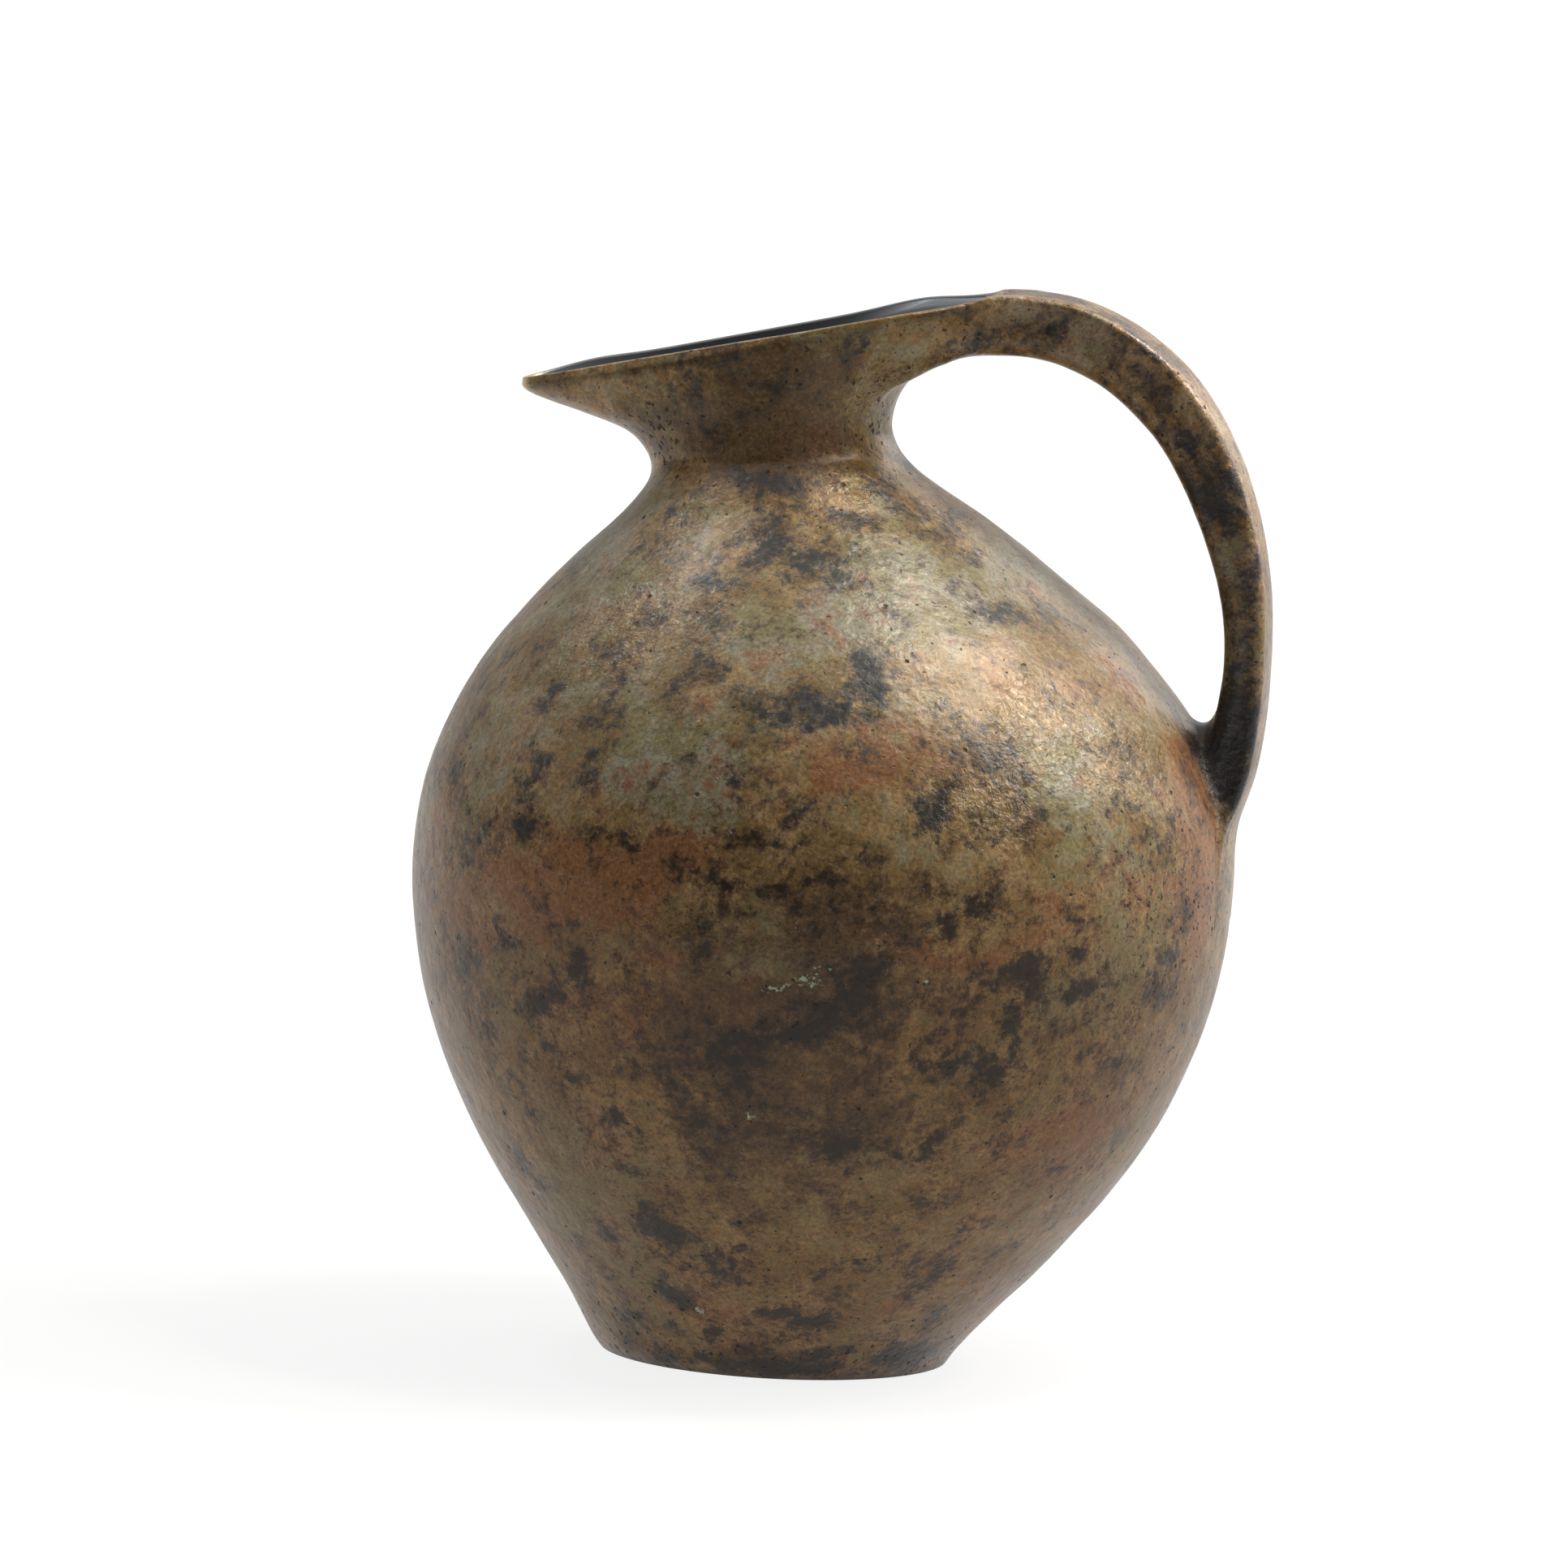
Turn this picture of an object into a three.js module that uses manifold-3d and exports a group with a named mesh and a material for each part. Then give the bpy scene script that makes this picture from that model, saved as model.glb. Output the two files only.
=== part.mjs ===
// Pilgrim jar: a cast bronze pouring jug with a round belly on a small flat
// foot, a leaning neck that opens into a slanted, beaked mouth, and one heavy
// strap handle from the rim to the shoulder.
//
// Millimetres, +Z up. The origin is the centre of the foot's underside, +X
// points to the handle, -X to the spout, and the jar is symmetric about y = 0.
//
// It is built as a founder builds it, from five castings that are fitted and
// brazed together: a disc that closes the foot, a lower bowl, a shoulder dome
// lapped over the bowl's rim, a neck with the spout lapped into the dome, and
// a handle whose two tenons go through the neck and the shoulder.
import * as THREE from "three";
import { mergeVertices } from "three/addons/utils/BufferGeometryUtils.js";
import Module from "manifold-3d";

// ---------------------------------------------------------------- dimensions
const WALL = 2.5; // bronze wall, mm
const RIM = 2.3; // width of the rim's flat top
const FIT = 0.3; // clearance between two fitted castings
const LAP_HEIGHT = 5.5; // how far one casting reaches into the next
const LAP_OUT = 1.1; // depth of the outer half of a lap below the outer skin

const BASE_R = 38.4; // foot disc
const BASE_T = 2.4;
const BASE_LEDGE_R = 34.0; // opening above the disc's ledge
const FLOOR_T = 4.6; // foot thickness at the ledge

const TENON_R = 3.4; // handle tenons
const TENON_SHORT = 0.2; // a tenon's end is this far below the wall's inner skin

// The outer skin is a stack of rings. Ring k runs through SPOUT_SIDE[k] and
// HANDLE_SIDE[k], both in the plane y = 0, as [x, z].
const SPOUT_SIDE = [
  [-43.5, 0], [-45.8, 3], [-49.2, 9], [-53.3, 16], [-59.2, 25], [-65.7, 35],
  [-72.9, 46], [-79.7, 58], [-85.5, 70], [-90.0, 82], [-93.2, 94],
  [-95.3, 106], [-96.3, 118], [-95.7, 130], [-93.7, 142], [-89.7, 154],
  [-84.5, 165], [-78.2, 175.3], [-71.5, 184], [-64.9, 191.8], [-57.9, 199.4],
  [-50.9, 206.3], [-45.7, 212.3], [-42.6, 217.2], [-42.2, 221.4],
  [-44.6, 225.5], [-49.8, 229.4], [-61.4, 233.1], [-74.4, 237.2],
  [-76.0, 240.7],
];
const HANDLE_SIDE = [
  [43.5, 0], [45.7, 3], [50.7, 9], [57.0, 16], [65.4, 25], [73.6, 35],
  [82.3, 46], [90.3, 58], [96.7, 70], [101.7, 82], [105.2, 94], [107.4, 106],
  [108.4, 118], [108.1, 130], [106.3, 142], [102.1, 154], [95.7, 165.5],
  [86.6, 176.5], [76.8, 186.6], [64.9, 195.8], [53.0, 204.6], [41.6, 212.4],
  [30.6, 218.9], [22.3, 225.0], [18.0, 231.5], [17.8, 238.0], [20.8, 245.0],
  [28.9, 254.0], [41.2, 265.8], [44.2, 269.4],
];
const LAST = SPOUT_SIDE.length - 1; // the ring at the rim
const BELLY_SEAM = 12; // ring where bowl and dome meet
const NECK_SEAM = 21; // ring where dome and neck meet
const ROUND_TO = 22; // rings up to here are circles
const NECK_HALF_DEPTH = [
  [22, 38.2], [23, 32.7], [24, 30.0], [25, 29.1], [26, 29.1], [27, 29.5],
  [28, 30.1], [29, 30.4],
]; // half depth in Y of the rings above
const MOUTH_CENTRE = 0.68; // the mouth's widest line, as a share of its length
const BEAK_EXPONENT = 1.0; // 2 is an ellipse, 1 a parabola with its tip at the lip
const BEAK_ROUND = 0.3; // keeps the beak's sides smooth where they start

// The handle: its outer and its inner line in the plane y = 0, as [x, z], and
// its half width across, station by station from the rim down to the tail.
const HANDLE_OUT = [
  [38.0, 267.2], [50.4, 269.8], [59.0, 268.8], [67.2, 266.7], [75.2, 263.2],
  [83.2, 258.4], [90.4, 252.4], [96.6, 245.3], [101.8, 237.3], [106.3, 228.2],
  [109.9, 218.5], [112.6, 208.4], [114.5, 197.9], [115.3, 186.9],
  [115.2, 176.4], [114.4, 166.0], [113.1, 156.4], [111.4, 148.0],
  [109.9, 139.5],
];
const HANDLE_IN = [
  [22.0, 248.0], [38.8, 253.7], [49.2, 254.2], [57.2, 253.1], [63.8, 251.0],
  [69.9, 248.1], [75.3, 244.3], [80.5, 239.7], [85.8, 233.9], [90.9, 226.1],
  [95.4, 217.3], [99.0, 208.5], [102.0, 199.3], [103.8, 189.3],
  [104.3, 179.8], [102.6, 171.5], [97.0, 163.0], [96.0, 154.0],
  [96.0, 145.0],
];
const HANDLE_HALF_WIDTH = [
  [0, 13.5], [2, 13.2], [6, 12.6], [10, 12.2], [14, 11.8], [18, 11.0],
];

// ------------------------------------------------------------------ resolution
const FRONT_STEPS = 10; // a quarter turn on the handle side
const BACK_STEPS = 14; // a quarter turn on the spout side, finer at the beak
const HANDLE_SECTION = 20;

// ------------------------------------------------------------------- numerics
const V = (x, y, z) => new THREE.Vector3(x, y, z);
const lerpTable = (table, k) => {
  if (k <= table[0][0]) return table[0][1];
  for (let i = 1; i < table.length; i++)
    if (k <= table[i][0]) {
      const [a, va] = table[i - 1];
      const [b, vb] = table[i];
      return va + ((vb - va) * (k - a)) / (b - a);
    }
  return table[table.length - 1][1];
};
const catmull = (points, k) => {
  const i = Math.min(Math.floor(k), points.length - 2);
  const t = k - i;
  const at = (j) => points[Math.max(0, Math.min(points.length - 1, j))];
  const [p0, p1, p2, p3] = [at(i - 1), at(i), at(i + 1), at(i + 2)];
  return p1.map(
    (_, c) =>
      0.5 *
      (2 * p1[c] +
        (p2[c] - p0[c]) * t +
        (2 * p0[c] - 5 * p1[c] + 4 * p2[c] - p3[c]) * t * t +
        (3 * p1[c] - p0[c] - 3 * p2[c] + p3[c]) * t * t * t),
  );
};

// Directions round a ring: 0 is the handle side and pi the spout.
const halfTurn = [];
for (let i = 0; i < FRONT_STEPS; i++)
  halfTurn.push(((Math.PI / 2) * i) / FRONT_STEPS);
for (let i = 0; i <= BACK_STEPS; i++) {
  const t = i / BACK_STEPS;
  halfTurn.push((Math.PI / 2) * (1 + 1.3 * t - 0.3 * t * t));
}
const ANGLES = [
  ...halfTurn,
  ...halfTurn.slice(1, -1).reverse().map((a) => 2 * Math.PI - a),
];
const SEGMENTS = ANGLES.length;

// One ring of the outer skin at a (real) ring number k: an ellipse on the
// handle side, and on the spout side an ellipse that sharpens into a beak.
function outerRing(k) {
  const spout = catmull(SPOUT_SIDE, k);
  const back = catmull(HANDLE_SIDE, k);
  const span = Math.hypot(back[0] - spout[0], back[1] - spout[1]);
  const ux = (back[0] - spout[0]) / span;
  const uz = (back[1] - spout[1]) / span;
  const f = Math.max(0, (k - ROUND_TO) / (LAST - ROUND_TO)); // 1 at the rim
  const toSpout = span * (0.5 + (MOUTH_CENTRE - 0.5) * Math.pow(f, 1.3));
  const toBack = span - toSpout;
  const halfDepth = k <= ROUND_TO ? span / 2 : lerpTable(NECK_HALF_DEPTH, k);
  const exponent = 2 + (BEAK_EXPONENT - 2) * f;
  return ANGLES.map((a) => {
    const s = Math.sin(a);
    const c = Math.cos(a);
    const u = c >= 0 ? toBack * c : toSpout * c;
    const sharpen = Math.pow((1 + BEAK_ROUND) / (BEAK_ROUND - Math.min(c, 0)), 2 - exponent);
    const v = c >= 0 ? Math.abs(s) : Math.sqrt(Math.max(0, 1 - c * c * sharpen));
    const along = toSpout + u;
    return V(spout[0] + ux * along, Math.sign(Math.round(s * 1e9)) * v * halfDepth, spout[1] + uz * along);
  });
}

// A skin parallel to the outer one, `depth` mm inside it (negative: outside).
function skinRing(k, depth) {
  const here = outerRing(k);
  if (depth === 0) return here;
  const step = 0.12;
  const below = outerRing(Math.max(0, k - step));
  const above = outerRing(Math.min(LAST, k + step));
  return here.map((p, i) => {
    const along = above[i].clone().sub(below[i]);
    const next = here[(i + 1) % SEGMENTS];
    const prev = here[(i - 1 + SEGMENTS) % SEGMENTS];
    const round = next.clone().sub(prev);
    const normal = round.cross(along).normalize();
    return p.clone().addScaledVector(normal, -depth);
  });
}
// The rim's top is flat: its inner edge lies in the same plane as its outer one.
function rimInner(width) {
  const rim = outerRing(LAST);
  const along = rim[0].clone().sub(rim[FRONT_STEPS + BACK_STEPS]);
  const up = V(-along.z, 0, along.x).normalize();
  return rim.map((p, i) => {
    const round = rim[(i + 1) % SEGMENTS].clone().sub(rim[(i - 1 + SEGMENTS) % SEGMENTS]);
    return p.clone().addScaledVector(round.cross(up).normalize(), -width);
  });
}
const flatRing = (radius, z, template = ANGLES) =>
  template.map((a) => V(radius * Math.cos(a), radius * Math.sin(a), z));

// Closed meshes from rings. A tube whose last ring joins its first is a wall.
function indexed(vertices, faces) {
  const g = new THREE.BufferGeometry();
  g.setAttribute(
    "position",
    new THREE.Float32BufferAttribute(vertices.flatMap((v) => [v.x, v.y, v.z]), 3),
  );
  g.setIndex(faces.flat());
  return g;
}
function wallFromRings(rings) {
  const n = rings[0].length;
  const faces = [];
  rings.forEach((_, r) => {
    const a = r * n;
    const b = ((r + 1) % rings.length) * n;
    for (let i = 0; i < n; i++) {
      const j = (i + 1) % n;
      faces.push([a + i, a + j, b + j], [a + i, b + j, b + i]);
    }
  });
  return indexed(rings.flat(), faces);
}
function solidFromRings(rings) {
  const n = rings[0].length;
  const vertices = rings.flat();
  const faces = [];
  for (let r = 0; r + 1 < rings.length; r++)
    for (let i = 0; i < n; i++) {
      const j = (i + 1) % n;
      const a = r * n;
      const b = a + n;
      faces.push([a + i, a + j, b + j], [a + i, b + j, b + i]);
    }
  for (const [ring, start, up] of [
    [rings[0], 0, false],
    [rings[rings.length - 1], (rings.length - 1) * n, true],
  ]) {
    const hub = ring.reduce((s, p) => s.add(p), V(0, 0, 0)).divideScalar(n);
    const h = vertices.push(hub) - 1;
    for (let i = 0; i < n; i++) {
      const j = (i + 1) % n;
      faces.push(up ? [start + i, start + j, h] : [start + j, start + i, h]);
    }
  }
  return indexed(vertices, faces);
}

// -------------------------------------------------------------------- booleans
const wasm = await Module();
wasm.setup();
function toSolid(geometry) {
  const g = geometry.index ? geometry.toNonIndexed() : geometry.clone();
  g.deleteAttribute("normal");
  g.deleteAttribute("uv");
  const merged = mergeVertices(g, 1e-4);
  const make = (tri) =>
    new wasm.Manifold(
      new wasm.Mesh({
        numProp: 3,
        vertProperties: new Float32Array(merged.attributes.position.array),
        triVerts: tri,
      }),
    );
  const tri = new Uint32Array(merged.index.array);
  const solid = make(tri);
  if (solid.volume() > 0) return solid;
  for (let i = 0; i < tri.length; i += 3) [tri[i + 1], tri[i + 2]] = [tri[i + 2], tri[i + 1]];
  return make(tri);
}
function toGeometry(solid) {
  const m = solid.getMesh();
  const g = new THREE.BufferGeometry();
  const xyz = new Float32Array(m.numVert * 3);
  for (let i = 0; i < m.numVert; i++)
    xyz.set(m.vertProperties.subarray(i * m.numProp, i * m.numProp + 3), i * 3);
  g.setAttribute("position", new THREE.BufferAttribute(xyz, 3));
  g.setIndex(new THREE.BufferAttribute(new Uint32Array(m.triVerts), 1));
  g.computeVertexNormals();
  return g;
}
const range = (from, to, step = 1) => {
  const out = [];
  for (let k = from; k < to - 1e-6; k += step) out.push(k);
  out.push(to);
  return out;
};

// ---------------------------------------------------------------------- pieces
// How far past a seam a lap reaches, in rings.
const lapRings = (k) => {
  const a = catmull(SPOUT_SIDE, k);
  const b = catmull(SPOUT_SIDE, k + 1);
  return LAP_HEIGHT / Math.hypot(b[0] - a[0], b[1] - a[1]);
};
// The gap at a seam, in rings.
const gapRings = (k) => (lapRings(k) * FIT) / LAP_HEIGHT;

// Lower bowl: foot ring with a rebate for the disc, wall, and a thin tongue
// round its rim that stands inside the dome.
const bellyLap = lapRings(BELLY_SEAM);
const bellyGap = gapRings(BELLY_SEAM);
const rebateR = BASE_R + FIT;
const bowl = toSolid(
  wallFromRings([
    ...range(0, BELLY_SEAM - bellyGap / 2).map((k) => skinRing(k, 0)),
    skinRing(BELLY_SEAM - bellyGap / 2, LAP_OUT + FIT),
    skinRing(BELLY_SEAM + bellyLap, LAP_OUT + FIT),
    skinRing(BELLY_SEAM + bellyLap, WALL),
    ...range(2, BELLY_SEAM - bellyGap / 2).reverse().map((k) => skinRing(k, WALL)),
    flatRing(41.5, FLOOR_T + 0.4),
    flatRing(BASE_LEDGE_R, FLOOR_T),
    flatRing(BASE_LEDGE_R, BASE_T + FIT),
    flatRing(rebateR, BASE_T + FIT),
    flatRing(rebateR, 0),
  ]),
);

// Shoulder dome: a rebate at its lower edge over the bowl's tongue, and a
// tongue at its top that stands inside the neck.
const neckLap = lapRings(NECK_SEAM);
const neckGap = gapRings(NECK_SEAM);
let dome = toSolid(
  wallFromRings([
    ...range(BELLY_SEAM + bellyGap / 2, NECK_SEAM - neckGap / 2).map((k) => skinRing(k, 0)),
    skinRing(NECK_SEAM - neckGap / 2, LAP_OUT + FIT),
    skinRing(NECK_SEAM + neckLap, LAP_OUT + FIT),
    skinRing(NECK_SEAM + neckLap, WALL),
    ...range(BELLY_SEAM + bellyLap + bellyGap, NECK_SEAM).reverse().map((k) => skinRing(k, WALL)),
    skinRing(BELLY_SEAM + bellyLap + bellyGap, LAP_OUT),
    skinRing(BELLY_SEAM + bellyGap / 2, LAP_OUT),
  ]),
);

// Neck: a rebate over the dome's tongue, the waist, the flare and the beak.
const neckRings = [
  ...range(NECK_SEAM + neckGap / 2, LAST - 1, 0.8),
  LAST - 0.5,
  LAST,
];
let neck = toSolid(
  wallFromRings([
    ...neckRings.map((k) => skinRing(k, 0)),
    rimInner(RIM),
    ...range(NECK_SEAM + neckLap + neckGap, LAST - 1, 0.8).reverse().map((k) => skinRing(k, WALL)),
    skinRing(NECK_SEAM + neckLap + neckGap, LAP_OUT),
    skinRing(NECK_SEAM + neckGap / 2, LAP_OUT),
  ]),
);

// Foot disc: closes the hole that the casting core left.
const disc = toSolid(
  solidFromRings([
    flatRing(BASE_R, 0),
    flatRing(BASE_R, BASE_T - 0.8),
    flatRing(BASE_R - 0.8, BASE_T),
  ]),
);

// Handle: a heavy strap with a flat side, worn round at its corners.
function handleSection(k) {
  const o = catmull(HANDLE_OUT, k);
  const i = catmull(HANDLE_IN, k);
  const w = lerpTable(HANDLE_HALF_WIDTH, k);
  const half = Math.hypot(o[0] - i[0], o[1] - i[1]) / 2;
  const nx = (o[0] - i[0]) / (2 * half);
  const nz = (o[1] - i[1]) / (2 * half);
  const section = [];
  for (let s = 0; s < HANDLE_SECTION; s++) {
    const a = (2 * Math.PI * (s + 0.5)) / HANDLE_SECTION;
    const power = (v) => Math.sign(v) * Math.pow(Math.abs(v), 0.42);
    const c = power(Math.cos(a)) * 1.012;
    const y = power(Math.sin(a)) * 1.012;
    const out = c * half - (c > 0 ? 1.0 : 1.2) * Math.pow(Math.abs(c), 4) * y * y;
    section.push(
      V((o[0] + i[0]) / 2 + nx * out, y * w, (o[1] + i[1]) / 2 + nz * out),
    );
  }
  return section;
}
const strap = toSolid(
  solidFromRings(range(0, HANDLE_OUT.length - 1).map(handleSection)),
);
// Everything inside the outer skin, grown by the fitting clearance, and
// carried on above the rim so that nothing of the strap stands over the mouth.
const lift = (ring, dx, dz) => ring.map((p) => V(p.x + dx, p.y, p.z + dz));
const rimOut = skinRing(LAST, -FIT);
const keepOut = toSolid(
  solidFromRings([
    ...range(8, LAST).map((k) => skinRing(k, -FIT)),
    lift(rimOut, 1.5, 8),
  ]),
);
// The hollow of the jar, up to the level where the tenons are filed off.
const innerRim = skinRing(LAST, WALL - TENON_SHORT);
const hollow = toSolid(
  solidFromRings([
    ...range(8, LAST).map((k) => skinRing(k, WALL - TENON_SHORT)),
    lift(innerRim, 1.5, 8),
  ]),
);
const alongX = (radius, x0, x1, z) =>
  toSolid(
    new THREE.CylinderGeometry(radius, radius, x1 - x0, 16)
      .rotateZ(Math.PI / 2)
      .translate((x0 + x1) / 2, 0, z),
  );
const NECK_TENON_Z = 259.5;
const DOME_TENON_Z = 152.0;
const xOnBack = (z) => {
  let [lo, hi] = z > 231 ? [24, LAST] : [BELLY_SEAM, 24];
  for (let n = 0; n < 40; n++) {
    const mid = (lo + hi) / 2;
    if (catmull(HANDLE_SIDE, mid)[1] < z) lo = mid;
    else hi = mid;
  }
  return catmull(HANDLE_SIDE, lo)[0];
};
const neckTenon = [xOnBack(NECK_TENON_Z) - 8, xOnBack(NECK_TENON_Z) + 6];
const domeTenon = [xOnBack(DOME_TENON_Z) - 6, xOnBack(DOME_TENON_Z) + 4];
const tenons = alongX(TENON_R, ...neckTenon, NECK_TENON_Z)
  .add(alongX(TENON_R, ...domeTenon, DOME_TENON_Z))
  .subtract(hollow);
const handle = strap.subtract(keepOut).add(tenons);
neck = neck.subtract(alongX(TENON_R + FIT, neckTenon[0] - 6, neckTenon[1] - 0.5, NECK_TENON_Z));
dome = dome.subtract(alongX(TENON_R + FIT, domeTenon[0] - 4, domeTenon[1] - 0.5, DOME_TENON_Z));

// ------------------------------------------------------------------------ group
const bronze = (color, roughness) =>
  new THREE.MeshStandardMaterial({ color, roughness, metalness: 0.85, flatShading: false });
const jar = new THREE.Group();
for (const [name, solid, material] of [
  ["base_plate", disc, bronze(0x4a3a26, 0.6)],
  ["lower_body", bowl, bronze(0x6b5330, 0.42)],
  ["upper_body", dome, bronze(0x5f4f36, 0.4)],
  ["neck_spout", neck, bronze(0x54452f, 0.45)],
  ["handle", handle, bronze(0x7a6648, 0.38)],
]) {
  const mesh = new THREE.Mesh(toGeometry(solid), material);
  mesh.name = name;
  jar.add(mesh);
}

export default jar;
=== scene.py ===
"""Pilgrim jar, a cast bronze pouring jug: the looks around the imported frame.

The skins are rebuilt here from the same outlines as the frame's solids, at about
1 mm, with the fillets where the handle flows into neck and shoulder, the unevenness
of the casting, its pits and its worn edges. Everything is in metres in the end;
the outlines are in millimetres.
"""
import math

import bpy
import numpy as np
from mathutils import Matrix, Vector
from mathutils.bvhtree import BVHTree


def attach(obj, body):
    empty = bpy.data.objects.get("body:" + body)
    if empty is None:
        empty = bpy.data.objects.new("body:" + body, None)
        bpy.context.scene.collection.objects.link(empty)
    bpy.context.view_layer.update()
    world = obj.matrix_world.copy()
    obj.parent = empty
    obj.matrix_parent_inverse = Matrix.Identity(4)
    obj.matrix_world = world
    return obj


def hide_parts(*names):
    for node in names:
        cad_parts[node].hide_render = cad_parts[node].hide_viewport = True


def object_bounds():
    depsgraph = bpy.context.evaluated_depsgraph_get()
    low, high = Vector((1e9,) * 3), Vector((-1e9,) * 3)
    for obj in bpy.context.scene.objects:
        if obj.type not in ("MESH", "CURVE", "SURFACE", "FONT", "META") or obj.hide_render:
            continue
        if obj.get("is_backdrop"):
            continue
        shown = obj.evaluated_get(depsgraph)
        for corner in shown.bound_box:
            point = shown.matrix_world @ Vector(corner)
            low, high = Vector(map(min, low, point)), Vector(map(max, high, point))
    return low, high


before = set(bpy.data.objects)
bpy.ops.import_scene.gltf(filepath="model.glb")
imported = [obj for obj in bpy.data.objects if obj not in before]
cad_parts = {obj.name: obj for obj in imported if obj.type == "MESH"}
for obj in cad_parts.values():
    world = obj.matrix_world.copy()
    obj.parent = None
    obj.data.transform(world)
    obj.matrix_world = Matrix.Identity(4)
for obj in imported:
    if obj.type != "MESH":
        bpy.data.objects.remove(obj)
cad_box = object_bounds()

# ------------------------------------------------------------------ camera
EYE = (0.36065, -2.73941, 0.45340)
RIGHT = Vector((0.989106, 0.137791, 0.051795))
UP = Vector((-0.066402, 0.103615, 0.992398))
LOOK = Vector((-0.131377, 0.985027, -0.111636))
cam_data = bpy.data.cameras.new("camera")
cam_data.sensor_width = 36.0
cam_data.lens = 255.754
cam_data.clip_end = 200.0
camera = bpy.data.objects.new("camera", cam_data)
bpy.context.scene.collection.objects.link(camera)
camera.matrix_world = Matrix(
    [
        (RIGHT.x, UP.x, -LOOK.x, EYE[0]),
        (RIGHT.y, UP.y, -LOOK.y, EYE[1]),
        (RIGHT.z, UP.z, -LOOK.z, EYE[2]),
        (0, 0, 0, 1),
    ]
)
bpy.context.scene.camera = camera

# --------------------------------------------------------------- outlines, mm
WALL = 2.5
RIM = 2.3
SPOUT_SIDE = np.array([
    [-43.5, 0], [-45.8, 3], [-49.2, 9], [-53.3, 16], [-59.2, 25], [-65.7, 35],
    [-72.9, 46], [-79.7, 58], [-85.5, 70], [-90.0, 82], [-93.2, 94],
    [-95.3, 106], [-96.3, 118], [-95.7, 130], [-93.7, 142], [-89.7, 154],
    [-84.5, 165], [-78.2, 175.3], [-71.5, 184], [-64.9, 191.8], [-57.9, 199.4],
    [-50.9, 206.3], [-45.7, 212.3], [-42.6, 217.2], [-42.2, 221.4],
    [-44.6, 225.5], [-49.8, 229.4], [-61.4, 233.1], [-74.4, 237.2],
    [-76.0, 240.7],
])
HANDLE_SIDE = np.array([
    [43.5, 0], [45.7, 3], [50.7, 9], [57.0, 16], [65.4, 25], [73.6, 35],
    [82.3, 46], [90.3, 58], [96.7, 70], [101.7, 82], [105.2, 94], [107.4, 106],
    [108.4, 118], [108.1, 130], [106.3, 142], [102.1, 154], [95.7, 165.5],
    [86.6, 176.5], [76.8, 186.6], [64.9, 195.8], [53.0, 204.6], [41.6, 212.4],
    [30.6, 218.9], [22.3, 225.0], [18.0, 231.5], [17.8, 238.0], [20.8, 245.0],
    [28.9, 254.0], [41.2, 265.8], [44.2, 269.4],
])
LAST = len(SPOUT_SIDE) - 1
BELLY_SEAM, NECK_SEAM, ROUND_TO = 12, 21, 22
NECK_HALF_DEPTH = np.array([38.2, 32.7, 30.0, 29.1, 29.1, 29.5, 30.1, 30.4])
HALF_DEPTH = np.hypot(*(HANDLE_SIDE - SPOUT_SIDE).T) / 2
HALF_DEPTH[ROUND_TO:] = NECK_HALF_DEPTH
MOUTH_CENTRE, BEAK_EXPONENT, BEAK_ROUND = 0.68, 1.0, 0.3

HANDLE_OUT = np.array([
    [47.0, 268.85], [50.4, 269.25], [59.0, 268.6], [67.2, 266.6], [75.2, 263.2],
    [83.2, 258.4], [90.4, 252.4], [96.6, 245.3], [101.8, 237.3], [106.3, 228.2],
    [109.9, 218.5], [112.6, 208.4], [114.5, 197.9], [115.3, 186.9],
    [115.4, 176.4], [114.8, 166.0], [113.5, 155.8], [111.4, 147.4],
    [109.4, 140.8], [108.6, 134.0], [108.5, 126.0], [108.1, 117.0],
])
HANDLE_IN = np.array([
    [31.0, 251.9], [38.8, 253.4], [49.2, 254.0], [57.2, 253.1], [63.8, 251.0],
    [69.9, 248.1], [75.3, 244.3], [80.5, 239.7], [85.8, 233.9], [90.9, 226.1],
    [95.4, 217.3], [99.0, 208.5], [102.0, 199.3], [103.8, 189.3],
    [104.2, 179.6], [103.3, 171.0], [101.9, 163.0], [100.8, 154.5],
    [100.6, 146.0], [100.8, 137.0], [101.0, 127.0], [101.5, 117.0],
])
HANDLE_HALF = [
    (0, 13.6), (1, 13.4), (2, 13.2), (6, 12.6), (10, 12.2), (14, 11.8),
    (16, 11.6), (17, 12.2), (18, 14.0), (19, 16.5), (20, 18.0), (21, 17.0),
]


def catmull(points, k):
    k = np.asarray(k, float)
    n = len(points)
    i = np.clip(np.floor(k).astype(int), 0, n - 2)
    t = (k - i)[..., None]
    at = lambda j: points[np.clip(j, 0, n - 1)]
    p0, p1, p2, p3 = at(i - 1), at(i), at(i + 1), at(i + 2)
    return 0.5 * (
        2 * p1 + (p2 - p0) * t + (2 * p0 - 5 * p1 + 4 * p2 - p3) * t * t
        + (3 * p1 - p0 - 3 * p2 + p3) * t ** 3
    )


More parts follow.
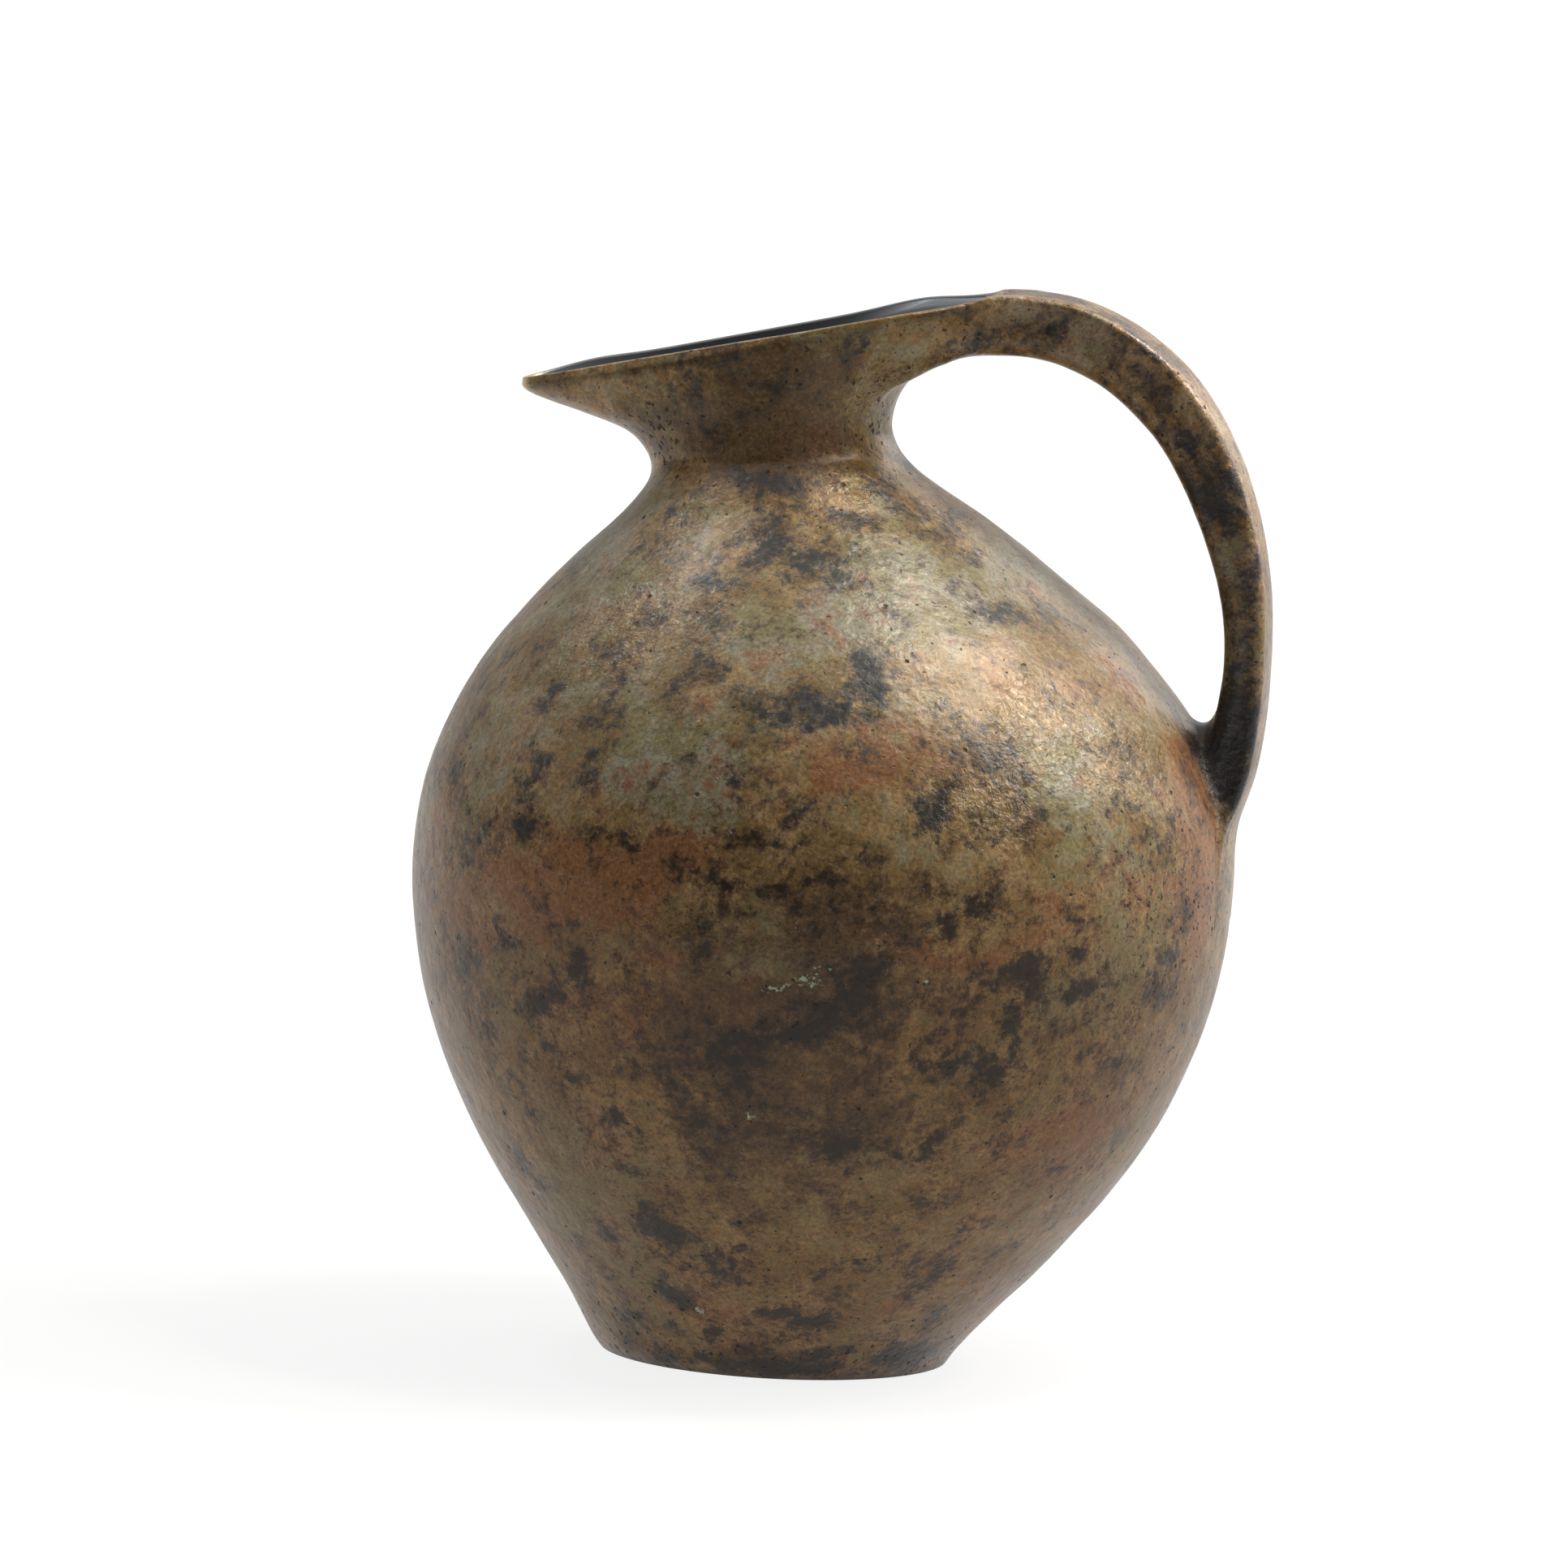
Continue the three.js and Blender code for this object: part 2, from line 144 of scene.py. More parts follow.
def skin(k, a):
    """The outer skin: rings k (n,) by directions a (m,), as (n, m, 3) in mm."""
    k = np.asarray(k, float)
    spout, back = catmull(SPOUT_SIDE, k), catmull(HANDLE_SIDE, k)
    d = back - spout
    span = np.hypot(d[:, 0], d[:, 1])
    ux, uz = d[:, 0] / span, d[:, 1] / span
    f = np.clip((k - ROUND_TO) / (LAST - ROUND_TO), 0, None)
    to_spout = span * (0.5 + (MOUTH_CENTRE - 0.5) * f ** 1.3)
    to_back = span - to_spout
    half = catmull(HALF_DEPTH[:, None], k)[:, 0]
    m = 2 + (BEAK_EXPONENT - 2) * f
    c, s = np.cos(a)[None, :], np.sin(a)[None, :]
    u = np.where(c >= 0, to_back[:, None], to_spout[:, None]) * c
    sharpen = ((1 + BEAK_ROUND) / (BEAK_ROUND - np.minimum(c, 0))) ** (2 - m)[:, None]
    v = np.where(c >= 0, np.abs(s), np.sqrt(np.maximum(0, 1 - c * c * sharpen)))
    v = v * np.sign(np.round(s, 9)) * half[:, None]
    along = to_spout[:, None] + u
    return np.stack(
        [spout[:, :1] + ux[:, None] * along, v, spout[:, 1:] + uz[:, None] * along], -1
    )


def unit(v):
    return v / np.maximum(np.linalg.norm(v, axis=-1, keepdims=True), 1e-12)


def grid_normals(P, wrap=True):
    """Outward normals of a ring grid (rings go up, directions go round +Z)."""
    up = np.empty_like(P)
    up[1:-1] = P[2:] - P[:-2]
    up[0] = P[1] - P[0]
    up[-1] = P[-1] - P[-2]
    if wrap:
        rnd = np.roll(P, -1, axis=1) - np.roll(P, 1, axis=1)
    else:
        rnd = np.gradient(P, axis=1)
    return unit(np.cross(rnd, up))


# ------------------------------------------------------------------- noise
def _hash(ix, iy, iz, seed):
    h = (ix.astype(np.uint32) * np.uint32(374761393)
         + iy.astype(np.uint32) * np.uint32(668265263)
         + iz.astype(np.uint32) * np.uint32(2147483647)
         + np.uint32(seed * 1274126177 & 0xFFFFFFFF))
    h = (h ^ (h >> np.uint32(13))) * np.uint32(1274126177)
    h = h ^ (h >> np.uint32(16))
    return (h & np.uint32(0xFFFFFF)).astype(np.float64) / float(0xFFFFFF)


def noise(P, size, seed=0):
    """Smooth value noise, -1 to 1, with features about `size` mm across."""
    q = P / size
    i = np.floor(q).astype(np.int64)
    f = q - i
    w = f * f * f * (f * (f * 6 - 15) + 10)
    out = np.zeros(P.shape[:-1])
    for dx in (0, 1):
        for dy in (0, 1):
            for dz in (0, 1):
                wt = (
                    (w[..., 0] if dx else 1 - w[..., 0])
                    * (w[..., 1] if dy else 1 - w[..., 1])
                    * (w[..., 2] if dz else 1 - w[..., 2])
                )
                out += wt * _hash(i[..., 0] + dx + 4096, i[..., 1] + dy + 4096,
                                  i[..., 2] + dz + 4096, seed)
    return out * 2 - 1


def fbm(P, size, octaves=3, seed=0):
    out, amp, tot = 0, 1.0, 0.0
    for o in range(octaves):
        out = out + amp * noise(P + 13.7 * o, size / 2 ** o, seed + o)
        tot += amp
        amp *= 0.5
    return out / tot


def smooth(x, lo, hi):
    t = np.clip((x - lo) / (hi - lo), 0, 1)
    return t * t * (3 - 2 * t)


# --------------------------------------------------------- the plain strap
HS = np.arange(0, len(HANDLE_OUT) - 1 + 1e-9, 0.07)
H_O, H_I = catmull(HANDLE_OUT, HS), catmull(HANDLE_IN, HS)
H_W = catmull(np.interp(np.arange(len(HANDLE_OUT)), *zip(*HANDLE_HALF))[:, None], HS)[:, 0]


def strap_section(t, w, ro, ri, dish, crown, hollow):
    """Outer face from its middle to the arris, dished side, round inner corner,
    inner face, and the same mirrored; t is half the thickness, w half the width."""
    pts = []
    yo, yi = w - ro, w - ri * 0.9
    for s in np.linspace(0, 1, 15)[:-1]:
        pts.append((t - crown * s * s - hollow * (1 - s * s) ** 2, yo * s))
    for s in np.linspace(0, 1, 9)[:-1]:
        a = s * math.pi / 2
        pts.append((t - crown - ro + ro * math.cos(a), yo + ro * math.sin(a)))
    top, bottom = t - crown - ro, -t + ri
    for s in np.linspace(0, 1, 17)[:-1]:
        pts.append((top + (bottom - top) * s, w - dish * math.sin(math.pi * s) ** 1.5))
    for s in np.linspace(0, 1, 13)[:-1]:
        a = s * math.pi / 2
        pts.append((bottom - ri * math.sin(a), yi + ri * 0.9 * math.cos(a)))
    for s in np.linspace(0, 1, 11):
        pts.append((-t, yi * (1 - s)))
    half = np.array(pts)
    return np.concatenate([half, half[1:-1][::-1] * [1, -1]])


def section_normals(P):
    along = np.gradient(P, axis=0)
    rnd = np.roll(P, -1, axis=1) - np.roll(P, 1, axis=1)
    N = unit(np.cross(rnd, along))
    out = P - P.mean(1, keepdims=True)
    return N * np.sign(np.sum(out * N))


sections = []
for k, o, i, w in zip(HS, H_O, H_I, H_W):
    t = np.hypot(*(o - i)) / 2
    ro = float(np.interp(k, [0, 1.0, 2.2, 3.2, 5, 9, 14, 17, 19, 21], [2.6, 2.2, 1.5, 1.3, 2.2, 2.7, 2.5, 1.7, 1.2, 1.0]))
    ro = min(ro, 0.45 * t)
    ri = float(np.interp(k, [0, 2, 5, 12, 15, 21], [5.0, 5.5, 5.0, 4.2, 4.5, 2.5]))
    ri = min(ri, 0.75 * t)
    dish = float(np.interp(k, [0, 1, 3, 12, 16, 21], [0.6, 0.7, 0.45, 0.35, 0.2, 0.0]))
    crown = float(np.interp(k, [0, 3, 10, 15, 17, 18, 19, 20, 21], [0.1, 0.35, 0.7, 0.8, 0.9, 1.3, 1.7, 1.9, 1.9]))
    hollow = float(np.interp(k, [0, 0.6, 1.6, 2.6, 3.4], [0.0, 0.25, 0.55, 0.2, 0.0]))
    sec = strap_section(t, w, ro, ri, dish, min(crown, 0.5 * t), hollow)
    m, n = (o + i) / 2, (o - i) / (2 * t)
    sections.append(np.stack([m[0] + n[0] * sec[:, 0], sec[:, 1], m[1] + n[1] * sec[:, 0]], -1))
STRAP = np.array(sections)
LEAD = 10  # stations that carry the strap's root back into the neck's wall
back = unit((STRAP[0] - STRAP[4]).mean(0)[None])[0]
STRAP = np.concatenate([np.array([STRAP[0] + back * 0.9 * i for i in range(LEAD, 0, -1)]), STRAP])
STATION = np.concatenate([np.full(LEAD, -1.0), HS])
STRAP_N = section_normals(STRAP)


def quads(r, n, wrap=True):
    i, j = np.meshgrid(np.arange(r - 1), np.arange(n if wrap else n - 1), indexing="ij")
    j2 = (j + 1) % n
    return np.stack([i * n + j, i * n + j2, (i + 1) * n + j2, (i + 1) * n + j], -1).reshape(-1, 4)


def tree_of(P, N):
    """A search tree of a grid, its faces turned the way of the normals."""
    F = quads(*P.shape[:2])
    V = P.reshape(-1, 3)
    face = np.cross(V[F[:, 2]] - V[F[:, 0]], V[F[:, 3]] - V[F[:, 1]])
    if np.sum(face * N.reshape(-1, 3)[F[:, 0]]) < 0:
        F = F[:, ::-1]
    return BVHTree.FromPolygons(V.tolist(), F.tolist())


def signed(tree, P):
    """Signed distance to a tree's surface, its nearest point and normal there."""
    Q, N = np.empty_like(P), np.empty_like(P)
    for i, p in enumerate(P.tolist()):
        q, n, _, _ = tree.find_nearest(p)
        Q[i], N[i] = q, n
    far = np.linalg.norm(P - Q, axis=1)
    return np.where(np.einsum("ij,ij->i", P - Q, N) < 0, -far, far), Q, N


def fillet_size(P):
    """How softly strap and vessel run together: wide on the sides of the upper
    root, tight under it and at the lower one, nothing along the tail."""
    y = np.abs(P[..., 1])
    upper = 3.0 + 12.0 * smooth(y, 5.0, 15.0)
    lower = 1.3 + (4.2 + 5.8 * (1 - smooth(y, 3.0, 11.0))) * smooth(P[..., 2], 136.0, 162.0)
    return np.where(P[..., 2] > 215, upper, lower)


def soft_union(a, b, k):
    near = np.abs(a - b) < k
    return np.where(near, (a + b) / 2 - ((a - b) ** 2 + k * k) / (4 * k), np.minimum(a, b))


# ------------------------------------------------------------ the outer skin
def ring_numbers(step):
    fine = np.linspace(0, LAST, 4001)
    P = catmull(SPOUT_SIDE, fine)
    Q = catmull(HANDLE_SIDE, fine)
    run = (np.hypot(*np.diff(P, axis=0).T) + np.hypot(*np.diff(Q, axis=0).T)) / 2
    length = np.concatenate([[0], np.cumsum(run)])
    marks = [0, BELLY_SEAM, NECK_SEAM, LAST]
    out = []
    for lo, hi in zip(marks, marks[1:]):
        a, b = np.interp([lo, hi], fine, length)
        n = max(4, int(round((b - a) / step)))
        out.append(np.interp(np.linspace(a, b, n + 1), length, fine)[:-1])
    return np.concatenate(out + [[LAST]])


NA = 576
STEP = 0.95
ANG = np.linspace(0, 2 * np.pi, NA, endpoint=False)
KS = ring_numbers(STEP)
BASE = skin(KS, ANG)
BASE_N = grid_normals(BASE)

# the rim's own directions: out in its plane, and up across it
rim0 = BASE[-1]
_axis = unit((rim0[0] - rim0[NA // 2])[None])[0]
RIM_UP = np.array([-_axis[2], 0, _axis[0]])
RIM_OUT = unit(np.cross(np.roll(rim0, -1, axis=0) - np.roll(rim0, 1, axis=0), RIM_UP[None]))


def over_rim(P):
    return (P - rim0[0]) @ RIM_UP


def top_of_root(x):
    """The highest that anything reaches beside the strap's root, past the rim."""
    return np.interp(x, [40.0, 44.2, 47.0, 50.4, 54.0, 59.0, 67.2, 75.2, 90.0],
                     [268.45, 268.90, 269.05, 269.25, 269.1, 268.7, 266.7, 263.4, 253.0])


def rim_drop(x):
    """How far the rim dips below its plane before it runs into the strap."""
    return 0.65 * smooth(x, 20, 36) * smooth(-x, -45, -38)


def in_box(P):
    """P, eased back from the object's outermost planes."""
    Q = P.copy()
    for i, lo, hi in ((0, -96.25, 115.08), (1, -102.32, 102.32), (2, None, 269.62)):
        over = np.clip((Q[..., i] - (hi - 0.4)) / 0.8, 0, 40)
        Q[..., i] = np.where(over > 0, hi - 0.4 + 0.4 * np.tanh(2 * over), Q[..., i])
        if lo is not None:
            over = np.clip(((lo + 0.4) - Q[..., i]) / 0.8, 0, 40)
            Q[..., i] = np.where(over > 0, lo + 0.4 - 0.4 * np.tanh(2 * over), Q[..., i])
    return Q


VESSEL = tree_of(BASE, BASE_N)
PLAIN = tree_of(STRAP, STRAP_N)


def both(P):
    a, qa, na = signed(VESSEL, P)
    b, qb, nb = signed(PLAIN, P)
    return a, b, soft_union(a, b, fillet_size(P))


def march(P, D, levels):
    """From P along D, how far to the skin of the soft union; and how far the
    strap is nearer than the vessel there."""
    n = len(P)
    lo, hi = np.zeros(n), np.zeros(n)
    a, b, F = both(P)
    done = F >= 0
    found = done.copy()
    lead = np.where(done, a - b, 0.0)
    last = np.zeros(n)
    for h in levels:
        live = np.where(~done)[0]
        if not len(live):
            break
        a, b, F = both(P[live] + D[live] * h)
        hit = live[F >= 0]
        lo[hit], hi[hit] = last[hit], h
        done[hit] = found[hit] = True
        last[live] = h
    work = np.where(found & (hi > 0))[0]
    for _ in range(6):
        mid = (lo[work] + hi[work]) / 2
        a, b, F = both(P[work] + D[work] * mid[:, None])
        out = F >= 0
        hi[work] = np.where(out, mid, hi[work])
        lo[work] = np.where(out, lo[work], mid)
        lead[work] = a - b
    height = (lo + hi) / 2
    return height, lead, found


# the vessel's share of the fillets
b0 = np.full(BASE.shape[:2], 99.0)
box = (BASE[..., 0] > 0) & (np.abs(BASE[..., 1]) < 42) & (BASE[..., 2] > 205)
rows, cols = np.where(box)
b0[rows, cols] = signed(PLAIN, BASE[rows, cols])[0]
reach = fillet_size(BASE) + 1.0
sel = (b0 < reach) & (b0 > -9.0)
rows, cols = np.where(sel)
P0 = BASE[rows, cols]
k_ring = KS[rows]
flatten = smooth(k_ring, LAST - 2.2, LAST - 0.4)[:, None]
D0 = unit(BASE_N[rows, cols] * (1 - flatten) + RIM_OUT[cols] * flatten)
height, lead, found = march(P0, D0, [0.4, 0.9, 1.5, 2.2, 3.0, 4.0, 5.2, 6.6, 8.2, 10.0, 12.5])
H = np.zeros(BASE.shape[:2])
OK = np.ones(BASE.shape[:2], bool)
Bv = b0
dive = 0.35 * np.clip((lead - 0.5) / 1.5, 0, 1)
keep = np.clip((b0[rows, cols] + 3.0) / 3.0, 0, 1)
H[rows, cols] = np.maximum(height - dive, 0) * keep
OK[rows, cols] = found & (lead < 3.0)
H[b0 <= -9.0] = 0
OK[b0 <= -9.0] = False
H[~OK] = 0
filled = OK.copy()
for _ in range(4):  # carry the fillet's skin a little way on under the strap
    tot = np.zeros_like(H)
    cnt = np.zeros_like(H)
    for dr, dc in ((1, 0), (-1, 0), (0, 1), (0, -1)):
        f = np.roll(filled, (dr, dc), (0, 1))
        if dr:
            f[0 if dr > 0 else -1] = False
        g = np.roll(H, (dr, dc), (0, 1))
        tot += np.where(f, g, 0)
        cnt += f
    grow = (~filled) & (cnt > 0)
    H[grow] = tot[grow] / cnt[grow] * 0.93
    filled |= grow
SKIN = BASE.copy()
D = BASE_N.copy()
fl = smooth(KS, LAST - 2.2, LAST - 0.4)[:, None, None]
D = unit(BASE_N * (1 - fl) + RIM_OUT[None] * fl)
SKIN = BASE + D * H[..., None]
root = (SKIN[..., 0] > 40) & (SKIN[..., 2] > 255)
SKIN[..., 2] = np.where(root, np.minimum(SKIN[..., 2], top_of_root(SKIN[..., 0])), SKIN[..., 2])


def casting(P):
    """The casting's unevenness as millimetres along the normal."""
    broad = 0.30 * fbm(P, 46.0, 2, 11)
    hammered = 0.10 * fbm(P, 11.0, 2, 23)
    fine = 0.035 * noise(P, 3.2, 37)
    # the neck is cut crisply from the shoulder on the front and the back
    off = P[..., 2] - 224.0 - 0.09 * P[..., 0]
    calm = 1 - 0.75 * smooth(P[..., 2], 262, 267) * smooth(P[..., 0], 30, 38)
    crease = 1.10 * np.exp(-(((off + 3.6) / 5.6) ** 2)) - 0.70 * np.exp(-(((off - 2.4) / 2.1) ** 2))
    return (broad + hammered + fine) * calm + crease * smooth(np.abs(P[..., 1]), 8, 22)


SKIN_PLAIN = SKIN.copy()
SKIN = in_box(SKIN + BASE_N * (casting(SKIN) * smooth(BASE[..., 2], 0.0, 4.0))[..., None])
SKIN[..., 2] = np.maximum(SKIN[..., 2], 0)
SKIN_N = grid_normals(SKIN)

# the strap's share
zone = STATION < 5.0
zr = np.where(zone)[0]
P1 = STRAP[zr].reshape(-1, 3)
N1 = STRAP_N[zr].reshape(-1, 3)
a0 = signed(VESSEL, P1)[0]
todo = np.where((a0 > -2.5) & (a0 < fillet_size(P1) + 1.0))[0]
g1, lead, found = march(P1[todo], N1[todo], [0.4, 0.9, 1.5, 2.2, 3.0, 4.0, 5.2, 6.6, 8.2, 10.0, 12.5])
found &= a0[todo] > 0.4
shape = STRAP[zr].shape[:2]
G = np.zeros(shape).ravel()
known = np.ones(shape).ravel()
under = np.zeros(shape).ravel()  # how far a point is past the fillet's middle
G[todo] = g1 * np.clip((a0[todo] + 2.5) / 2.5, 0, 1)
known[todo] = found
under[todo] = np.where(found, np.clip(-lead / 1.5, 0, 1), 1.0)
under[a0 <= -2.5] = 1.0
known[a0 <= -2.5] = 0.0
G, known, under = G.reshape(shape), known.reshape(shape), under.reshape(shape)


def blur(A):
    """A small blur over the strap's grid, round it and along it."""
    A = (np.roll(A, 1, 1) + 2 * A + np.roll(A, -1, 1)) / 4
    up, down = np.concatenate([A[:1], A[:-1]]), np.concatenate([A[1:], A[-1:]])
    return (up + 2 * A + down) / 4


top, wt = G * known, known.copy()
for _ in range(10):
    top, wt = blur(top), blur(wt)
    filled_g = np.where(wt > 1e-4, top / np.maximum(wt, 1e-4), 0)
    top = np.where(known > 0, G, filled_g) * np.maximum(known, wt > 1e-4)
    wt = np.maximum(known, wt > 1e-4).astype(float)
G = np.where(known > 0, G, top)
for _ in range(3):
    G = blur(G)
for _ in range(2):
    under = np.maximum(under, blur(under))
moved = P1 + N1 * np.maximum(G.ravel() - 0.08 * (G.ravel() > 0.3), 0)[:, None]
VEIL = tree_of(SKIN_PLAIN, BASE_N)
close = np.where(under.ravel() > 0.02)[0]
a1, Q1, M1 = signed(VEIL, moved[close])
want = -0.75 * under.ravel()[close]
high = a1 > want
moved[close[high]] = Q1[high] + M1[high] * want[high][:, None]
a1 = signed(VESSEL, moved)[0]
# the root's top stays below the rim's plane until it is clear of the wall
over = over_rim(moved)
limit = -0.3 - rim_drop(moved[:, 0]) + 0.32 * np.clip(a1 / 1.4, 0, 1)
high = (moved[:, 2] > 225) & (over > limit) & (moved[:, 0] < 58)
moved[high] -= RIM_UP * (over - limit)[high][:, None]
cap = np.where(moved[:, 0] > 40, top_of_root(moved[:, 0]), 999.0)
moved[:, 2] = np.minimum(moved[:, 2], cap)
STRAP_PLAIN, STRAP_PLAIN_N = STRAP.copy(), STRAP_N.copy()
STRAP[zr] = moved.reshape(STRAP[zr].shape)
STRAP_N = section_normals(STRAP)
STRAP = in_box(STRAP + STRAP_N * (casting(STRAP) * 0.9)[..., None])
STRAP_N = section_normals(STRAP)


def in_wall(P):
    """P, drawn back into the neck's wall, so that nothing of the root shows in the mouth."""
    flat_p = P.reshape(-1, 3)
    deep, near, out = signed(VESSEL, flat_p)
    inner = (deep < -1.3) & (flat_p[:, 2] > 225)
    return np.where(inner[:, None], near - 1.3 * out, flat_p).reshape(P.shape)


STRAP[zr] = in_wall(STRAP[zr])


# ---------------------------------------------------------- the lower root's bead
def soft_normals(grid_p, grid_n, tree_p, P):
    """Smooth normals of a grid at its nearest points to P."""
    F = quads(*grid_p.shape[:2])
    V, N = grid_p.reshape(-1, 3), grid_n.reshape(-1, 3)
    hit = np.array([tree_p.find_nearest(p)[2] for p in P.tolist()])
    q = F[hit]
    w = 1.0 / (((V[q] - P[:, None]) ** 2).sum(-1) + 0.02)
    return unit((N[q] * w[..., None]).sum(1))


def surface_net(F, use, lo, h):
    """Quads of the surface F = 0 in the cells that `use` marks."""
    low = F < 0
    n = np.array(F.shape) - 1
    ends = [(i, j, k) for i in (0, 1) for j in (0, 1) for k in (0, 1)]

    def at(A, e):
        return A[e[0]:e[0] + n[0], e[1]:e[1] + n[1], e[2]:e[2] + n[2]]

    count = sum(at(low, e).astype(int) for e in ends)
    cell = (count > 0) & (count < 8) & (sum(at(use, e).astype(int) for e in ends) > 0)
    total, hits = np.zeros((*n, 3)), np.zeros(n)
    for e in ends:
        for axis in range(3):
            if e[axis]:
                continue
            g = tuple(1 if i == axis else v for i, v in enumerate(e))
            a, b = at(F, e), at(F, g)
            cross = (a < 0) != (b < 0)
            t = np.where(cross, a / np.where(cross, a - b, 1.0), 0.0)
            step = np.zeros((*n, 3)) + e
            step[..., axis] += t
            total += np.where(cross[..., None], step, 0)
            hits += cross
    index = np.full(n, -1)
    index[cell] = np.arange(cell.sum())
    where = np.argwhere(cell)
    V = lo + h * (where + total[cell] / hits[cell][:, None])
    out = []
    for axis in range(3):
        u, v = (axis + 1) % 3, (axis + 2) % 3
        first = [slice(0, None)] * 3
        first[axis] = slice(0, -1)
        second = [slice(0, None)] * 3
        second[axis] = slice(1, None)
        a, b = low[tuple(first)], low[tuple(second)]
        node = np.argwhere(a != b)
        turn = a[tuple(node.T)]
        ok = (node[:, u] > 0) & (node[:, v] > 0) & (node[:, u] < n[u]) & (node[:, v] < n[v])
        node, turn = node[ok], turn[ok]
        ring = []
        for du, dv in ((-1, -1), (0, -1), (0, 0), (-1, 0)):
            c = node.copy()
            c[:, u] += du
            c[:, v] += dv
            ring.append(index[tuple(c.T)])
        q = np.stack(ring, -1)
        good = (q >= 0).all(1)
        q, turn = q[good], turn[good]
        out.append(np.where(turn[:, None], q, q[:, ::-1]))
    return V, np.concatenate(out)


BH = 0.7
b_lo, b_hi = np.array([80.0, -20.0, 106.0]), np.array([117.0, 20.0, 187.0])
b_n = np.ceil((b_hi - b_lo) / BH).astype(int) + 1
axes = [b_lo[i] + BH * np.arange(b_n[i]) for i in range(3)]
BP = np.stack(np.meshgrid(*axes, indexing="ij"), -1)
flat_p = BP.reshape(-1, 3)
fb_dist = np.full(len(flat_p), 60.0)
# first the strap, which is the smaller: points farther off can't be in the bead
skip = np.abs(flat_p[:, 0] - np.interp(flat_p[:, 2], [106, 140, 165, 187], [101, 104, 103, 104])) > 22
pick = np.where(~skip)[0]
fb_dist[pick] = signed(PLAIN, flat_p[pick])[0]
fa_dist = np.full(len(flat_p), 60.0)
pick = np.where(np.abs(fb_dist) < 12)[0]
fa_dist[pick] = signed(VESSEL, flat_p[pick])[0]
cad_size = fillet_size(flat_p)
FF = soft_union(fa_dist, fb_dist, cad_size) - 0.03
IN = (np.abs(fa_dist - fb_dist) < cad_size) & (np.abs(fb_dist) < 11)
BV, BF = surface_net(FF.reshape(b_n), IN.reshape(b_n), b_lo, BH)


def share(P):
    """Soft union at P: its value, its gradient, and the strap's weight."""
    a, _, na = signed(VESSEL, P)
    b, _, nb = signed(PLAIN, P)
    k = fillet_size(P)
    w = np.clip(0.5 + (a - b) / (2 * k), 0, 1)
    return soft_union(a, b, k) - 0.03, na * (1 - w)[:, None] + nb * w[:, None], w


edge_pairs = np.concatenate([BF[:, [0, 1]], BF[:, [1, 2]], BF[:, [2, 3]], BF[:, [3, 0]]])
key = np.sort(edge_pairs, 1)
_, inverse, uses = np.unique(key, axis=0, return_inverse=True, return_counts=True)
rim_v = np.unique(edge_pairs[uses[inverse.ravel()] == 1])
for turn_no in range(4):
    total, hits = np.zeros_like(BV), np.zeros(len(BV))
    np.add.at(total, edge_pairs[:, 0], BV[edge_pairs[:, 1]])
    np.add.at(hits, edge_pairs[:, 0], 1)
    mean = total / np.maximum(hits, 1)[:, None]
    mean[rim_v] = BV[rim_v]
    mean[hits == 0] = BV[hits == 0]
    BV = BV * 0.4 + mean * 0.6
    for _ in range(2):
        val, grad, BW = share(BV)
        BV = BV - grad * (np.clip(val, -1, 1) / np.maximum((grad * grad).sum(1), 0.3))[:, None]
val, grad, BW = share(BV)
BNorm = unit(soft_normals(BASE, BASE_N, VESSEL, BV) * (1 - BW)[:, None]
             + soft_normals(STRAP_PLAIN, STRAP_PLAIN_N, PLAIN, BV) * BW[:, None])
BV = in_box(BV + BNorm * (casting(BV) * (1 - 0.1 * BW))[:, None])


# ------------------------------------------------------------- mesh building
def make(name, strips, extra=None):
    """A mesh from strips of rings. Each strip is (points (r, n, 3), normals or None);
    rings join inside a strip, and neighbouring strips share no vertices, so their
    common edge stays sharp."""
    verts, norms, faces, base = [], [], [], 0
    for P, N in strips:
        r, n = P.shape[:2]
        if N is None:
            N = grid_normals(P)
        verts.append(P.reshape(-1, 3))
        norms.append(N.reshape(-1, 3))
        faces.append(quads(r, n) + base)
        base += r * n
    if extra is not None:
        verts.append(extra[0])
        norms.append(extra[1])
        faces.append(extra[2] + base)
    V, N, F = np.concatenate(verts), np.concatenate(norms), np.concatenate(faces)
    mesh = bpy.data.meshes.new(name)
    mesh.vertices.add(len(V))
    mesh.vertices.foreach_set("co", (V / 1000.0).astype(np.float32).ravel())
    mesh.loops.add(F.size)
    mesh.loops.foreach_set("vertex_index", F.astype(np.int32).ravel())
    mesh.polygons.add(len(F))
    mesh.polygons.foreach_set("loop_start", np.arange(0, F.size, 4, dtype=np.int32))
    mesh.polygons.foreach_set("use_smooth", np.ones(len(F), bool))
    mesh.update(calc_edges=True)
    mesh.validate()
    mesh.normals_split_custom_set_from_vertices(unit(N).astype(np.float32))
    obj = bpy.data.objects.new(name, mesh)
    bpy.context.scene.collection.objects.link(obj)
    return obj, V, unit(N)


def band(lo, hi):
    """Rows of the outer skin from ring number lo to hi."""
    a = int(np.argmin(np.abs(KS - lo)))
    b = int(np.argmin(np.abs(KS - hi)))
    return SKIN[a:b + 1], SKIN_N[a:b + 1]


def coarse(k0, k1, n, depth):
    """An inner skin, from ring k0 to k1, `depth` mm below the outer one."""
    ks = np.linspace(k0, k1, n)
    P = skin(ks, ANG)
    e = 0.1
    up = skin(np.minimum(ks + e, LAST), ANG) - skin(np.maximum(ks - e, 0), ANG)
    rnd = np.roll(P, -1, axis=1) - np.roll(P, 1, axis=1)
    N = unit(np.cross(rnd, up))
    return P - depth * N


def flat(radius, z):
    return np.stack([radius * np.cos(ANG), radius * np.sin(ANG), np.full(NA, float(z))], -1)[None]


